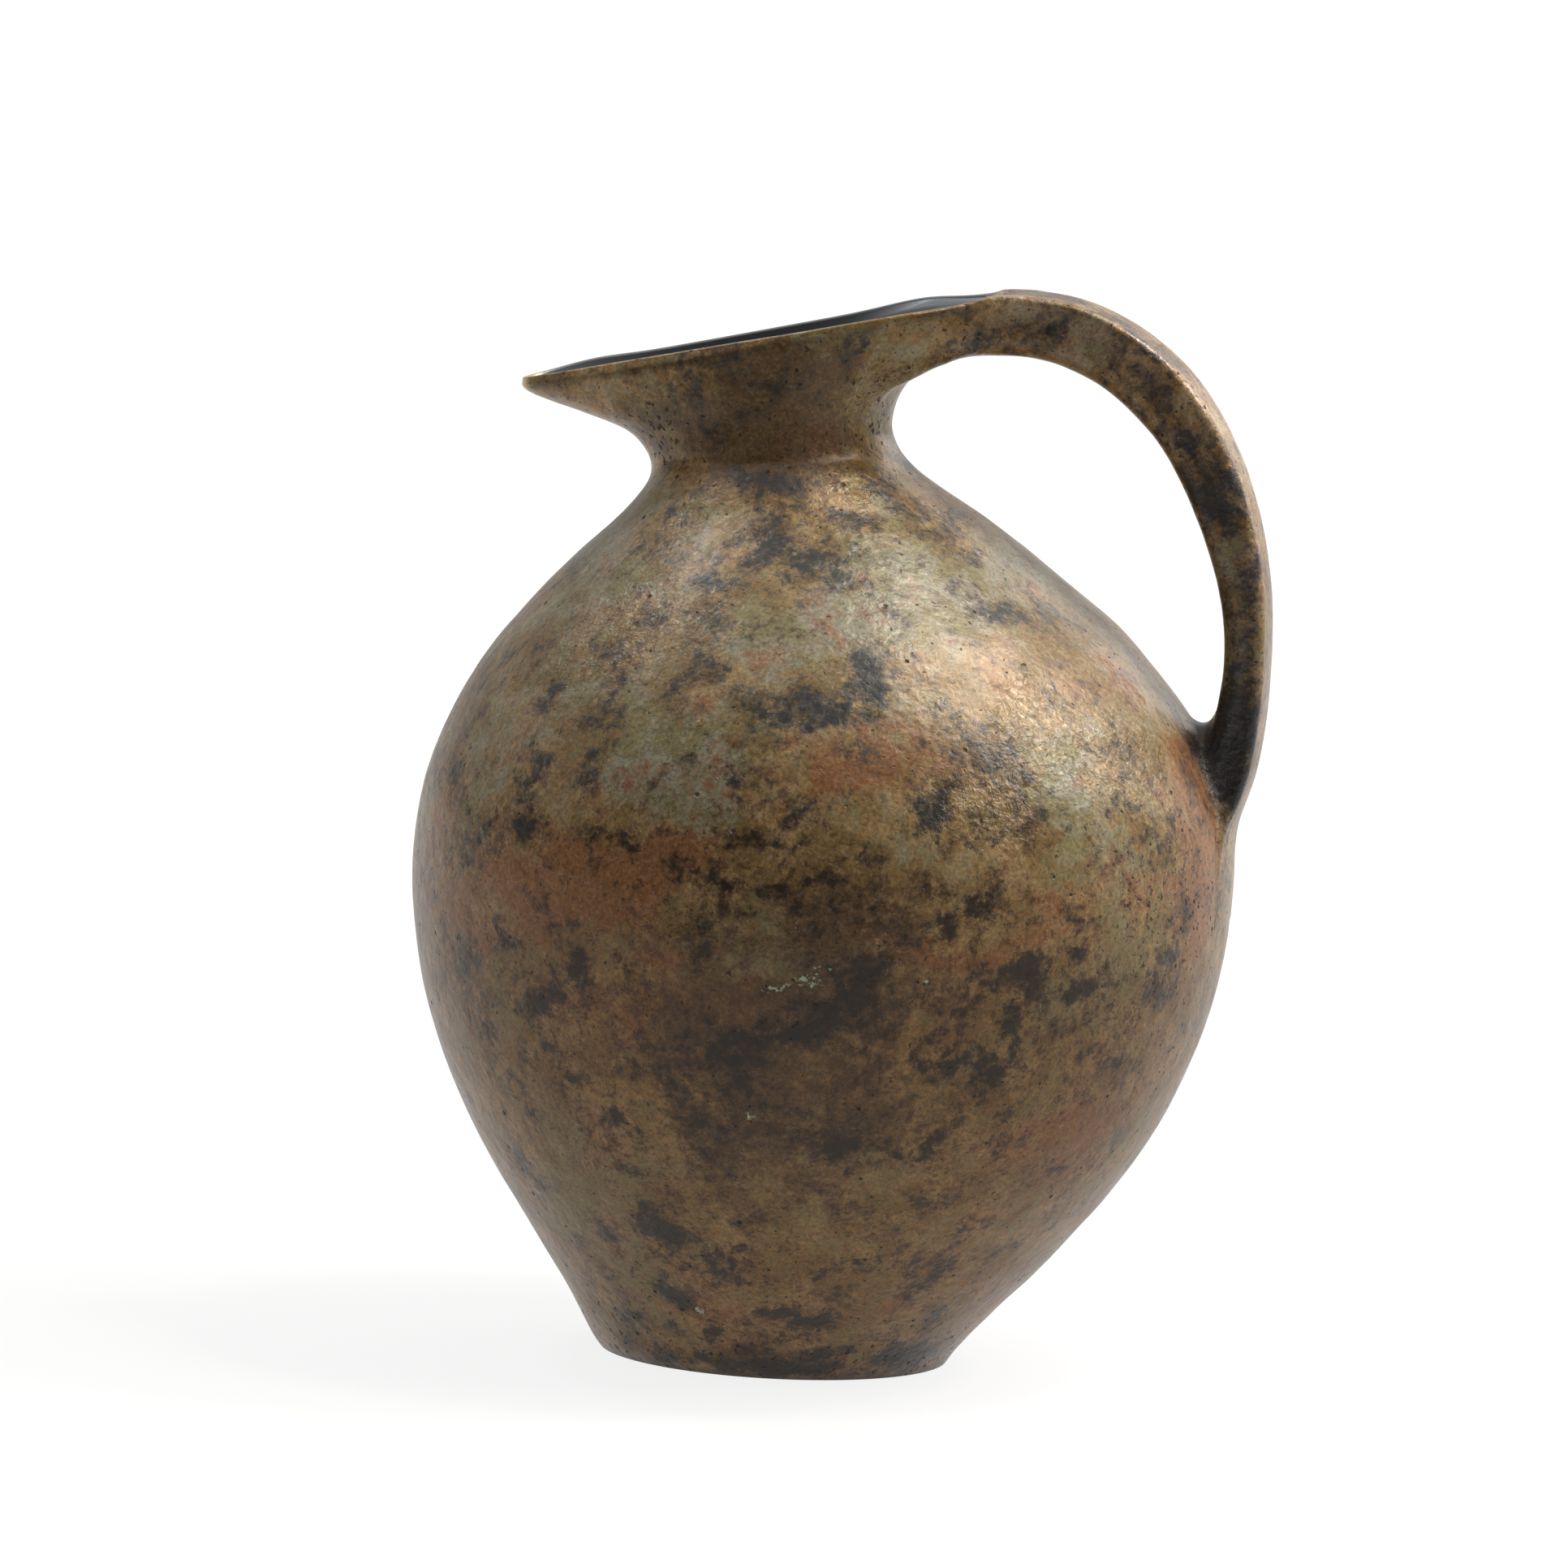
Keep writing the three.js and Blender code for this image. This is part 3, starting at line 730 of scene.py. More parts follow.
def stack(*rows):
    return np.concatenate(rows, 0)


# bowl: foot, wall, inside
bowl_out = band(0, BELLY_SEAM)
foot_edge = bowl_out[0][:1]
inner = coarse(BELLY_SEAM, 2.0, 20, WALL)
inside_floor = stack(inner[-1:], flat(41.5, 5.0), flat(34.0, 4.6))
bowl_strips = [
    bowl_out,
    (stack(bowl_out[0][-1:], inner[:1]), None),
    (stack(inner, flat(41.5, 5.0), flat(34.0, 4.6)), None),
    (stack(flat(34.0, 4.6), flat(34.0, 2.7)), None),
    (stack(flat(34.0, 2.7), flat(38.7, 2.7)), None),
    (stack(flat(38.7, 2.7), flat(38.7, 0.0)), None),
    (stack(flat(38.7, 0.0), foot_edge), None),
]
lower_body, LV, LN = make("lower_body_skin", bowl_strips)

dome_out = band(BELLY_SEAM, NECK_SEAM)
dome_in = coarse(NECK_SEAM, BELLY_SEAM, 40, WALL)
upper_body, UV, UN = make("upper_body_skin", [
    dome_out,
    (stack(dome_out[0][-1:], dome_in[:1]), None),
    (dome_in, None),
    (stack(dome_in[-1:], dome_out[0][:1]), None),
])

# neck: outer skin, the rim's rounded flat top, and the throat
neck_out = band(NECK_SEAM, LAST)
edge = neck_out[0][-1]
wave = (0.2 * noise(rim0, 23.0, 5) - 0.1)[:, None] * RIM_UP
edge = edge - over_rim(edge)[:, None] * RIM_UP
sink = np.where(edge[:, 0] > 40, np.maximum(edge[:, 2] - top_of_root(edge[:, 0]), 0), 0)
edge = edge - sink[:, None] * RIM_UP
spread = np.linalg.norm(edge - rim0, axis=1)
r0 = (0.25 + 0.45 * (1 - smooth(spread, 0.2, 2.5)))[:, None]
corner = []
for deg in (0, 22, 45, 68, 90):
    a = math.radians(deg)
    corner.append(edge - RIM_OUT * r0 * (1 - math.cos(a)) - RIM_UP * r0 * (1 - math.sin(a)) + wave)
r1 = 0.6
inner_corner = []
for deg in (90, 68, 45, 22, 0):
    a = math.radians(deg)
    inner_corner.append(rim0 - RIM_OUT * (RIM - r1 * (1 - math.cos(a))) - RIM_UP * r1 * (1 - math.sin(a)) + wave)
flats = [corner[-1] * (1 - t) + inner_corner[0] * t for t in (0.2, 0.4, 0.6, 0.8)]
throat = coarse(LAST - 1.0, NECK_SEAM, 46, WALL)
drop = over_rim(neck_out[0])
last_rows = [i for i in range(len(drop)) if np.median(drop[i]) < -0.95]
neck_top = stack(neck_out[0][: last_rows[-1] + 1], np.array(corner), np.array(flats), np.array(inner_corner), throat)
# the far side of the rim isn't quite flat
ripple = 0.9 * np.exp(-(((neck_top[..., 0] - 20) / 13) ** 2)) * smooth(neck_top[..., 1], 5, 20)
ripple = ripple + 0.9 * np.exp(-(((neck_top[..., 0] + 60) / 10) ** 2)) * smooth(neck_top[..., 1], 0, 6)
ripple = ripple - rim_drop(neck_top[..., 0])
neck_top = neck_top + (ripple * smooth(over_rim(neck_top), -6, -1))[..., None] * RIM_UP
neck_spout, NV, NN = make("neck_spout_skin", [
    (neck_top, None),
    (stack(throat[-1:], neck_out[0][:1]), None),
])

# ---------------------------------------------------------------- the strap
middle = STRAP[:1].mean(1, keepdims=True)
cap0 = in_wall(np.concatenate([middle + (STRAP[:1] - middle) * t for t in (0.0, 0.25, 0.5, 0.75)]))
cap1 = np.repeat(STRAP[-1:].mean(1, keepdims=True), STRAP.shape[1], axis=1)
strips = [(STRAP, STRAP_N), (stack(cap0, STRAP[:1]), None), (stack(STRAP[-1:], cap1), None)]
if np.sum(grid_normals(STRAP) * STRAP_N) < 0:
    strips = [(P[:, ::-1], None if N is None else N[:, ::-1]) for P, N in strips]
handle, HV, HN = make("handle_strap", strips, (BV, BNorm, BF))

# ---------------------------------------------------------------- the patina
# Patches listed as x, y, z, half width, half height in mm and strength:
# blue-black and dark brown ones, orange-brown ones, olive to grey-green ones, and
# the few crumbs of verdigris.
DARK = np.array([
    [4, -88, 169, 7.2, 5.8, 1], [-14, -68, 189, 4.8, 4.1, 0.7], [-13, -59, 198, 4.8, 2.2, 0.9],
    [-20, -57, 198, 4.2, 3.9, 0.7], [-37, -53, 193, 5.1, 2.8, 0.5], [-26, -44, 205, 3.9, 2.9, 0.5],
    [-4, -51, 205, 6.3, 5.2, 0.9], [-11, -38, 215, 2.2, 4.2, 0.8], [-4, -42, 213, 8.3, 7.5, 0.55],
    [7, -80, 179, 2.5, 2.0, 0.5], [11, -85, 172, 3.1, 4.8, 0.6], [13, -89, 166, 3.1, 2.7, 0.6],
    [-15, -74, 183, 5.5, 6.4, 0.35], [-55, -52, 180, 3.0, 1.6, 0.5],
    [-67, -32, 181, 8.2, 2.7, 0.35], [-53, -65, 169, 2.5, 5.2, 0.6], [-80, -50, 145, 7.6, 3.0, 0.7],
    [-76, -59, 138, 6.2, 2.5, 0.5], [-57, -79, 137, 4.2, 2.5, 0.95], [-68, -68, 136, 4.3, 1.7, 0.5],
    [-55, -78, 144, 3.5, 3.8, 0.6], [-51, -82, 140, 3.3, 2.1, 0.6], [-43, -85, 150, 5.7, 3.0, 0.7],
    [-33, -89, 151, 4.3, 3.0, 0.5], [-25, -95, 143, 2.7, 2.9, 0.4], [-30, -94, 137, 3.3, 2.1, 0.5],
    [-8, -99, 141, 3.8, 2.5, 0.6], [4, -100, 142, 3.3, 1.7, 0.7], [8, -100, 140, 4.1, 3.3, 0.6],
    [13, -99, 146, 3.3, 2.9, 0.6], [-2, -100, 139, 2.1, 2.5, 0.5], [15, -97, 150, 2.0, 1.7, 0.5],
    [-6, -97, 149, 3.0, 1.7, 0.5], [-74, -64, 128, 6.4, 3.7, 0.5], [-65, -73, 128, 3.3, 1.6, 0.5],
    [-59, -71, 154, 4.5, 2.6, 0.4], [-54, -76, 152, 3.0, 1.7, 0.4], [-32, -45, 202, 4.0, 1.7, 0.6],
    [-53, -27, 198, 9.0, 3.5, 0.25], [2, -73, 186, 4.1, 4.0, 0.35], [8, -78, 181, 2.5, 3.0, 0.4],
    [-2, -84, 173, 2.5, 2.4, 0.6], [23, -74, 182, 4.5, 5.1, 1.1], [27, -80, 175, 3.3, 7.3, 1.1],
    [16, -86, 170, 4.1, 3.5, 0.9], [41, -76, 173, 3.0, 3.9, 0.7], [48, -75, 171, 3.1, 2.9, 0.5],
    [36, -80, 171, 1.7, 1.9, 0.5], [10, -52, 204, 7.2, 7.2, 0.75], [17, -47, 207, 2.5, 2.9, 0.6],
    [11, -39, 213, 5.2, 3.7, 0.6], [13, -58, 199, 5.1, 4.2, 0.7], [27, -29, 214, 5.5, 4.6, 0.7],
    [20, -25, 219, 5.0, 4.2, 0.6], [32, -32, 210, 2.1, 2.5, 0.6], [52, -44, 193, 8.5, 2.9, 0.9],
    [47, -45, 195, 5.1, 3.4, 0.7], [45, -39, 200, 5.4, 2.9, 0.5], [54, -31, 198, 6.5, 3.5, 0.45],
    [60, -30, 194, 5.2, 2.4, 0.5], [46, -26, 204, 8.3, 2.4, 0.35], [28, -60, 193, 1.7, 2.8, 0.4],
    [42, -57, 190, 1.4, 2.8, 0.4], [59, -72, 167, 4.2, 4.6, 0.4], [60, -76, 160, 5.1, 3.9, 0.5],
    [54, -78, 162, 4.0, 4.4, 0.4], [85, -48, 161, 5.8, 7.8, 0.5], [85, -56, 151, 4.2, 1.7, 0.6],
    [76, -64, 156, 2.1, 0.9, 0.5], [40, -91, 151, 4.6, 2.5, 0.9], [47, -89, 150, 2.6, 1.7, 0.7],
    [44, -91, 146, 5.3, 4.1, 0.7], [57, -84, 147, 5.6, 2.9, 0.7], [56, -87, 140, 3.5, 2.9, 0.6],
    [21, -95, 152, 2.9, 1.7, 0.7], [22, -91, 161, 2.5, 2.2, 0.6], [95, -46, 142, 7.8, 7.2, 0.6],
    [72, -74, 146, 3.9, 1.7, 0.4], [101, -30, 145, 4.8, 5.2, 0.4], [32, -98, 137, 4.1, 2.0, 0.5],
    [19, -99, 142, 4.1, 2.1, 0.4], [42, -88, 156, 2.5, 1.7, 0.4], [17, -19, 224, 5.1, 3.1, 0.4],
    [22, 2, 225, 9.5, 2.7, 0.5], [-16, -100, 130, 3.5, 2.5, 0.7], [-6, -101, 130, 2.1, 1.6, 0.7],
    [6, -102, 130, 4.5, 2.5, 0.8], [15, -101, 131, 2.5, 1.6, 0.6], [-10, -101, 114, 3.8, 4.6, 0.7],
    [-9, -101, 120, 3.4, 2.5, 0.6], [2, -102, 122, 2.1, 2.1, 0.6], [13, -102, 124, 4.1, 2.9, 0.6],
    [18, -102, 118, 2.0, 1.6, 0.7], [-40, -90, 103, 6.0, 2.5, 0.9], [-46, -86, 98, 3.7, 2.1, 0.8],
    [-51, -81, 95, 3.9, 2.1, 0.7], [-38, -92, 109, 3.4, 2.5, 0.5], [-59, -78, 108, 4.3, 2.9, 0.7],
    [-74, -62, 105, 10.2, 4.2, 0.45], [-62, -72, 93, 5.8, 3.0, 0.6], [-65, -65, 84, 3.6, 3.0, 0.7],
    [-73, -54, 82, 3.7, 1.3, 0.5], [-48, -80, 83, 2.7, 1.8, 0.7], [-27, -95, 100, 3.7, 0.6, 0.9],
    [2, -98, 91, 8.3, 4.3, 0.95], [-6, -97, 89, 3.0, 2.2, 0.8], [10, -99, 96, 5.1, 3.0, 0.7],
    [16, -99, 95, 4.1, 2.6, 0.7], [-3, -96, 84, 5.3, 3.6, 0.75], [2, -95, 80, 2.9, 2.3, 0.6],
    [-14, -96, 88, 3.0, 1.1, 0.5], [-40, -82, 77, 5.6, 2.7, 0.5], [-31, -83, 69, 2.9, 3.7, 0.7],
    [-26, -76, 54, 5.7, 2.5, 0.75], [-52, -54, 47, 6.3, 2.5, 0.7], [-58, -52, 51, 3.9, 2.9, 0.5],
    [-37, -58, 37, 3.3, 3.6, 0.6], [-23, -68, 40, 4.7, 3.7, 0.7], [-18, -68, 37, 2.7, 3.8, 0.75],
    [-24, -71, 45, 3.3, 2.6, 0.5], [-7, -67, 33, 6.4, 4.9, 0.9], [-4, -64, 28, 3.4, 2.7, 0.8],
    [2, -71, 37, 2.1, 2.2, 0.6], [-14, -92, 77, 3.0, 2.3, 0.35], [-9, -90, 71, 2.1, 1.9, 0.4],
    [-53, -68, 67, 6.2, 2.8, 0.35], [10, -91, 69, 12.3, 9.5, 0.3], [18, -100, 101, 5.1, 2.1, 0.5],
    [33, -98, 111, 4.5, 2.9, 1.15], [29, -99, 106, 4.1, 2.9, 0.9], [26, -98, 100, 4.1, 3.8, 0.8],
    [22, -98, 95, 3.7, 2.6, 0.6], [21, -101, 132, 3.3, 2.0, 0.6], [43, -94, 103, 4.6, 2.1, 0.6],
    [49, -93, 124, 3.4, 2.5, 0.8], [52, -92, 121, 2.2, 1.2, 0.7], [56, -89, 127, 4.8, 3.3, 0.8],
    [64, -83, 109, 6.9, 2.9, 0.75], [67, -82, 112, 4.7, 2.1, 0.8], [71, -78, 106, 3.4, 2.9, 0.6],
    [64, -81, 96, 2.3, 6.1, 0.8], [72, -76, 102, 2.0, 2.6, 0.6], [82, -67, 106, 6.5, 3.4, 0.9],
    [78, -72, 106, 3.6, 2.5, 0.7], [78, -72, 113, 3.1, 2.1, 0.6], [98, -44, 112, 5.9, 2.9, 0.7],
    [98, -43, 104, 3.8, 3.0, 0.7], [55, -85, 88, 7.7, 3.1, 0.85], [60, -80, 84, 4.5, 3.6, 0.7],
    [50, -86, 85, 3.0, 2.2, 0.6], [87, -54, 87, 5.5, 2.7, 0.6], [69, -69, 76, 9.9, 3.3, 0.45],
    [78, -60, 77, 3.9, 1.9, 0.5], [34, -96, 98, 4.1, 2.1, 0.5], [49, -92, 132, 3.0, 1.6, 0.5],
    [53, -90, 130, 1.7, 1.0, 0.8], [62, -85, 131, 3.2, 2.0, 0.5], [29, -100, 121, 2.9, 1.6, 0.5],
    [45, -79, 65, 3.0, 3.9, 0.55], [47, -80, 69, 2.2, 1.9, 0.5], [24, -86, 64, 6.1, 3.9, 0.45],
    [35, -82, 62, 6.3, 3.0, 0.35], [87, -62, 129, 6.3, 6.1, 0.4], [90, -57, 137, 4.3, 2.9, 0.5],
    [48, -90, 94, 1.3, 3.5, 0.5], [61, -41, 36, 4.7, 2.9, 0.4], [30, -63, 33, 5.1, 2.8, 0.7],
    [37, -64, 37, 3.0, 2.9, 0.6], [41, -51, 27, 5.1, 4.1, 0.7], [48, -51, 32, 3.4, 2.9, 0.5],
    [-33, -40, 13, 3.1, 2.0, 0.8], [-29, -43, 12, 1.7, 1.3, 0.7], [-21, -56, 23, 2.9, 3.2, 0.8],
    [-17, -55, 20, 3.2, 2.2, 0.9], [-19, -48, 12, 2.8, 2.1, 0.9], [-8, -52, 12, 3.0, 3.2, 0.8],
    [8, -58, 19, 4.5, 2.9, 0.8], [2, -57, 19, 2.1, 2.3, 0.6], [18, -53, 17, 2.9, 3.6, 0.8],
    [13, -54, 16, 1.6, 2.3, 0.5], [44, -36, 17, 4.4, 4.3, 0.7], [40, -27, 6, 9.1, 4.7, 0.8],
    [34, -36, 8, 3.5, 2.9, 0.7], [19, -45, 8, 3.4, 2.9, 0.8], [-21, -41, 4, 3.5, 3.0, 0.6],
    [-13, -45, 5, 3.1, 3.6, 0.6], [-30, -36, 5, 3.1, 2.0, 0.5], [-6, -45, 2, 3.4, 2.2, 0.7],
    [6, -45, 3, 6.1, 2.2, 0.9], [16, -43, 3, 6.3, 2.3, 1], [24, -45, 9, 1.7, 2.3, 0.6],
    [-78, -59, 127, 4.5, 6.2, 0.3], [-23, -26, 233, 2.3, 2.5, 0.9], [-21, -27, 230, 1.9, 1.6, 0.7],
    [13, -28, 257, 3.4, 2.3, 0.8], [9, -28, 252, 2.5, 2.3, 0.7], [-6, -33, 221, 10.3, 2.2, 0.7],
    [-20, -28, 249, 8.6, 2.9, 0.3], [1, -29, 246, 8.2, 4.3, 0.3],
])
WARM = np.array([
    [16, -94, 157, 3.7, 4.8, 1], [23, -94, 156, 5.1, 4.3, 0.8], [31, -91, 156, 5.2, 4.3, 0.7],
    [-62, -76, 124, 15.9, 5.1, 0.7], [-41, -90, 131, 10.0, 5.1, 0.8],
    [-44, -89, 123, 15.4, 5.1, 0.8], [-27, -96, 129, 9.2, 5.1, 0.7], [-50, -85, 113, 9.5, 4.1, 0.8],
    [-67, -71, 109, 5.5, 2.1, 0.8], [-29, -96, 121, 9.2, 6.2, 0.6], [-17, -99, 110, 6.6, 3.1, 0.7],
    [-59, -77, 137, 9.1, 4.1, 0.6], [43, -96, 118, 8.4, 2.9, 0.8], [46, -94, 114, 6.3, 2.1, 0.8],
    [59, -87, 114, 5.6, 2.5, 0.8], [66, -83, 118, 6.9, 2.5, 0.6], [54, -87, 94, 6.6, 3.0, 0.6],
    [50, -91, 104, 4.3, 2.1, 0.5], [103, -33, 121, 11.3, 12.3, 1], [102, -24, 146, 10.9, 12.6, 0.9],
    [99, -17, 157, 9.0, 6.6, 0.8], [96, -49, 128, 10.3, 6.1, 0.6], [7, -101, 103, 8.2, 2.1, 0.7],
    [83, -68, 117, 2.7, 3.3, 0.6], [-8, -99, 99, 12.7, 4.3, 0.4], [17, -95, 83, 12.3, 3.1, 0.5],
    [30, -94, 85, 8.2, 3.1, 0.5], [11, -94, 79, 6.2, 2.3, 0.6], [-2, -49, 7, 8.3, 3.2, 0.6],
    [24, -53, 19, 6.3, 4.2, 0.6], [4, -55, 16, 8.2, 2.8, 0.6], [34, -51, 21, 8.9, 4.3, 0.4],
    [5, -25, 231, 9.1, 3.7, 0.8], [34, -5, 217, 9.5, 4.3, 0.7], [19, -53, 201, 2.5, 2.6, 0.8],
    [-14, -85, 170, 2.4, 2.1, 1.2], [-5, -91, 162, 2.5, 1.1, 1.1], [-4, -88, 168, 2.5, 1.9, 0.6],
    [-35, -70, 178, 2.6, 2.0, 0.7], [75, -36, 179, 21.6, 10.1, 0.3],
    [-77, -60, 114, 13.0, 8.2, 0.5], [32, -85, 167, 12.4, 6.9, 0.4], [43, -85, 160, 10.6, 5.5, 0.5],
    [-14, -99, 136, 8.7, 4.1, 0.5], [1, -95, 155, 6.2, 4.3, 0.4], [19, -101, 122, 10.2, 6.2, 0.3],
    [-29, -25, 220, 9.0, 3.7, 0.6], [-37, -90, 96, 14.7, 6.4, 0.35],
    [73, -77, 126, 12.2, 6.1, 0.35], [88, -43, 74, 14.1, 7.0, 0.4], [79, -51, 67, 18.2, 7.3, 0.35],
    [69, -55, 57, 16.3, 10.4, 0.25], [-12, -55, 19, 11.0, 5.5, 0.3],
    [-83, -48, 136, 11.6, 10.4, 0.5],
])
OLIVE = np.array([
    [-50, -28, 200, 34.0, 8.9, 0.7], [-22, -90, 158, 18.1, 11.0, 0.8],
    [-14, -97, 146, 8.7, 4.2, 0.5], [21, -31, 215, 3.2, 6.4, 0.8], [28, -47, 203, 13.2, 11.6, 0.9],
    [9, -69, 190, 12.3, 8.3, 0.9], [25, -65, 191, 8.3, 8.4, 0.8], [68, -68, 162, 12.4, 6.7, 0.6],
    [73, -71, 151, 15.1, 4.2, 0.7], [81, -66, 141, 13.4, 6.2, 0.6], [88, -59, 105, 11.9, 10.6, 0.7],
    [-5, -70, 189, 4.6, 6.8, 0.8], [-60, -74, 146, 4.4, 1.7, 0.9], [-62, -55, 170, 23.5, 12.1, 0.15],
    [-44, -71, 61, 16.7, 7.1, 0.5], [-46, -52, 38, 13.3, 7.7, 0.5], [-31, -56, 29, 13.2, 7.8, 0.4],
    [-6, -84, 57, 8.5, 7.5, 0.3], [-32, -29, 214, 13.2, 5.5, 0.6], [-55, -43, 187, 17.2, 10.9, 0.4],
    [-35, -76, 172, 15.1, 12.0, 0.5], [-4, -99, 145, 6.3, 2.5, 0.4], [7, -97, 152, 6.2, 2.1, 0.5],
    [39, -55, 193, 11.3, 8.6, 0.6], [18, -101, 109, 10.2, 2.9, 0.7], [8, -102, 113, 12.3, 4.2, 0.4],
    [-36, -21, 235, 9.4, 4.2, 0.6], [19, -10, 244, 11.6, 15.4, 0.6], [52, -19, 203, 26.1, 7.7, 0.4],
    [74, -73, 98, 12.5, 6.5, 0.4], [-36, -69, 49, 15.6, 10.0, 0.4], [-11, -93, 155, 10.0, 7.0, 0.9],
])
GREEN = np.array([
    [15, -101, 108, 1.8, 0.8, 1], [18, -101, 107, 2.9, 1.3, 1], [11, -101, 105, 3.3, 1.1, 0.9],
    [24, -100, 110, 2.5, 0.8, 0.8], [27, -99, 107, 2.0, 1.1, 0.6], [45, -94, 108, 1.1, 1.3, 1],
    [4, -92, 72, 1.4, 1.2, 1], [-12, -55, 18, 2.0, 1.9, 0.9], [14, -102, 120, 0.8, 1.6, 0.8],
    [-9, -56, 18, 1.3, 1.1, 0.7], [7, -101, 104, 2.5, 0.8, 0.7], [19, -101, 110, 1.2, 1.0, 0.9],
])


# Soft brown patches, partly brown patina and partly painted shade (the tall one down the spout side of the bowl, the
# one on the right flank and the broad ones across the front of the belly), rough-cast places, and dark marks of the
# neck and the strap; then painted shade in the hollow under the strap's lower root.
BROWN_AND_SHADE = np.array([
    [8, -96, 82, 28.8, 16.9, 0.9], [20, -100, 101, 24.5, 6.4, 0.5], [-7, -29, 240, 21.5, 14.4, 1.2], [-42, -17, 232, 14.0, 8.0, 0.8], [-10, -28, 230, 20.0, 9.0, 1.1], [8, -30, 232, 10.0, 9.0, 0.8], [22, -100, 117, 14.0, 10.0, 1.0], [-6, -101, 112, 18.0, 9.0, 0.7], [-66, -74, 96, 12.0, 11.0, 0.5], [0, -98, 90, 22.0, 12.0, 0.4],
    [-22, -27, 249, 13.0, 3.7, 0.6], [3, -29, 250, 12.3, 6.4, 0.9], [-11, -31, 226, 13.0, 2.8, 0.9],
    [17, -102, 127, 22.5, 7.2, 0.5], [51, -92, 130, 15.0, 9.2, 0.5],
    [-44, -88, 101, 18.0, 5.9, 0.5], [64, -80, 146, 11.6, 8.3, 0.4], [10, -80, 50, 32.8, 11.8, 0.5],
    [8, -47, 6, 42.9, 2.5, 1], [-64, -73, 138, 16.6, 6.2, 0.4], [-74, -61, 102, 16.6, 6.3, 0.4],
    [80, -64, 89, 16.3, 8.8, 0.35], [42, -85, 73, 14.8, 11.8, 0.4], [-16, -97, 97, 13.1, 6.4, 0.5],
    [-33, -36, 8, 12.8, 4.4, 0.5], [35, -42, 14, 14.3, 4.2, 0.5], [56, -88, 104, 11.0, 6.4, 0.3],
    [33, -31, 210, 10.6, 6.1, 0.4], [10, -87, 65, 22.0, 9.0, 0.6], [33, -97, 108, 11.0, 8.0, 0.7],
    [-92, -33, 128, 14.0, 40.0, 0.7], [99, -41, 118, 13.0, 12.0, 0.5],
])
RELIEF = np.array([
    [-36, -61, 187, 16.1, 16.1, 1], [-12, -63, 194, 6.5, 8.3, 0.5], [-53, -61, 174, 9.9, 9.8, 0.8],
    [63, -62, 173, 12.5, 12.2, 0.9], [79, -57, 161, 22.7, 11.1, 0.8], [88, -44, 161, 10.3, 11.1, 1],
    [61, -82, 147, 7.9, 11.4, 0.8], [12, -28, 220, 9.0, 5.5, 1.2], [46, -89, 149, 14.9, 10.5, 0.5],
    [-67, -71, 112, 10.3, 4.1, 0.6], [97, -45, 130, 10.8, 10.2, 0.5],
    [-26, -37, 211, 8.1, 8.6, 0.5],
])
DARK_NECK = np.array([
    # the first two rows darken the line of the neck's crease: painted shade
    [-11, -32, 224, 8.6, 1.5, 0.7], [3, -31, 226, 8.2, 1.5, 0.6], [-26, -26, 244, 3.1, 2.1, 0.5],
    [-18, -28, 235, 4.9, 2.9, 0.4], [-2, -28, 232, 2.1, 2.9, 0.3], [14, -15, 236, 2.0, 2.5, 0.4],
    [-49, -18, 238, 4.2, 1.5, 0.4], [-36, -17, 224, 3.7, 1.3, 0.5], [21, 5, 226, 5.4, 2.1, 0.5],
])
DARK_STRAP = np.array([
    [91, -12, 237, 1.6, 3.7, 0.9], [94, -12, 233, 2.0, 3.3, 0.6], [102, -12, 224, 2.4, 5.7, 0.9],
    [99, -12, 217, 1.6, 6.1, 0.5], [58, -12, 261, 12.2, 2.4, 0.6], [75, -12, 256, 6.1, 3.7, 0.6],
    [83, -12, 248, 4.1, 4.1, 0.5], [109, -12, 193, 1.6, 12.2, 0.4], [107, -12, 175, 1.6, 6.1, 0.8],
    [105, -12, 165, 2.9, 10.2, 1], [108, -12, 205, 1.6, 4.1, 0.4], [47, -12, 263, 8.2, 2.0, 0.4],
    [97, -12, 225, 1.2, 6.1, 0.4], [109, -12, 218, 1.2, 6.1, 0.3], [67, -12, 259, 2.9, 1.6, 0.5],
    [105, -12, 233, 1.0, 6.1, 0.3], [100, -12, 241, 1.2, 4.1, 0.3],
])
# painted shade in the hollow under the strap's lower root, on both sides
HOLLOW_SHADE = np.array([
    [107, -13, 158, 3.2, 8.5, 1.5], [104, -15, 166, 4.0, 4.5, 1.3], [109, -12, 149, 2.6, 4.5, 1.3],
    [99, -17, 170, 4.0, 3.0, 1.0], [110, -13, 141, 1.8, 4.0, 0.9], [95, -20, 172, 4.0, 2.0, 0.6],
])
DARK = np.concatenate([DARK, DARK_NECK])
# the bowl is stained harder than the shoulder, and hardest beside the foot
DARK[:, 5] *= np.where(DARK[:, 2] < 140, 1.35, 1.0) * np.where(DARK[:, 2] < 26, 1.3, 1.0)
WARM[:, 5] *= np.where((WARM[:, 2] < 140) & (WARM[:, 0] < 0), 1.4, 1.0)


def patches(P, spots):
    """The summed strength of soft patches at the points P."""
    out = np.zeros(len(P))
    for x, y, z, ru, rv, s in spots:
        d = P - (x, y, z)
        near = np.where(np.abs(d).max(1) < 2.4 * max(ru, rv))[0]
        if not len(near):
            continue
        d = d[near]
        az = math.atan2(y, x - 6.0)
        du = -d[:, 0] * math.sin(az) + d[:, 1] * math.cos(az)
        dv2 = np.maximum((d * d).sum(1) - du * du, 0)
        q = du * du / (ru * ru) + dv2 / (rv * rv)
        out[near] += s * np.exp(-0.8 * q)
    return out


def turned(spots, rise):
    """The same patches on the far side, so that the back has as many."""
    out = spots.copy()
    out[:, 0] = 12.0 - spots[:, 0]
    out[:, 1] = -spots[:, 1]
    out[:, 2] = spots[:, 2] + rise * ((spots[:, 2] > 30) & (spots[:, 2] < 185))
    return out


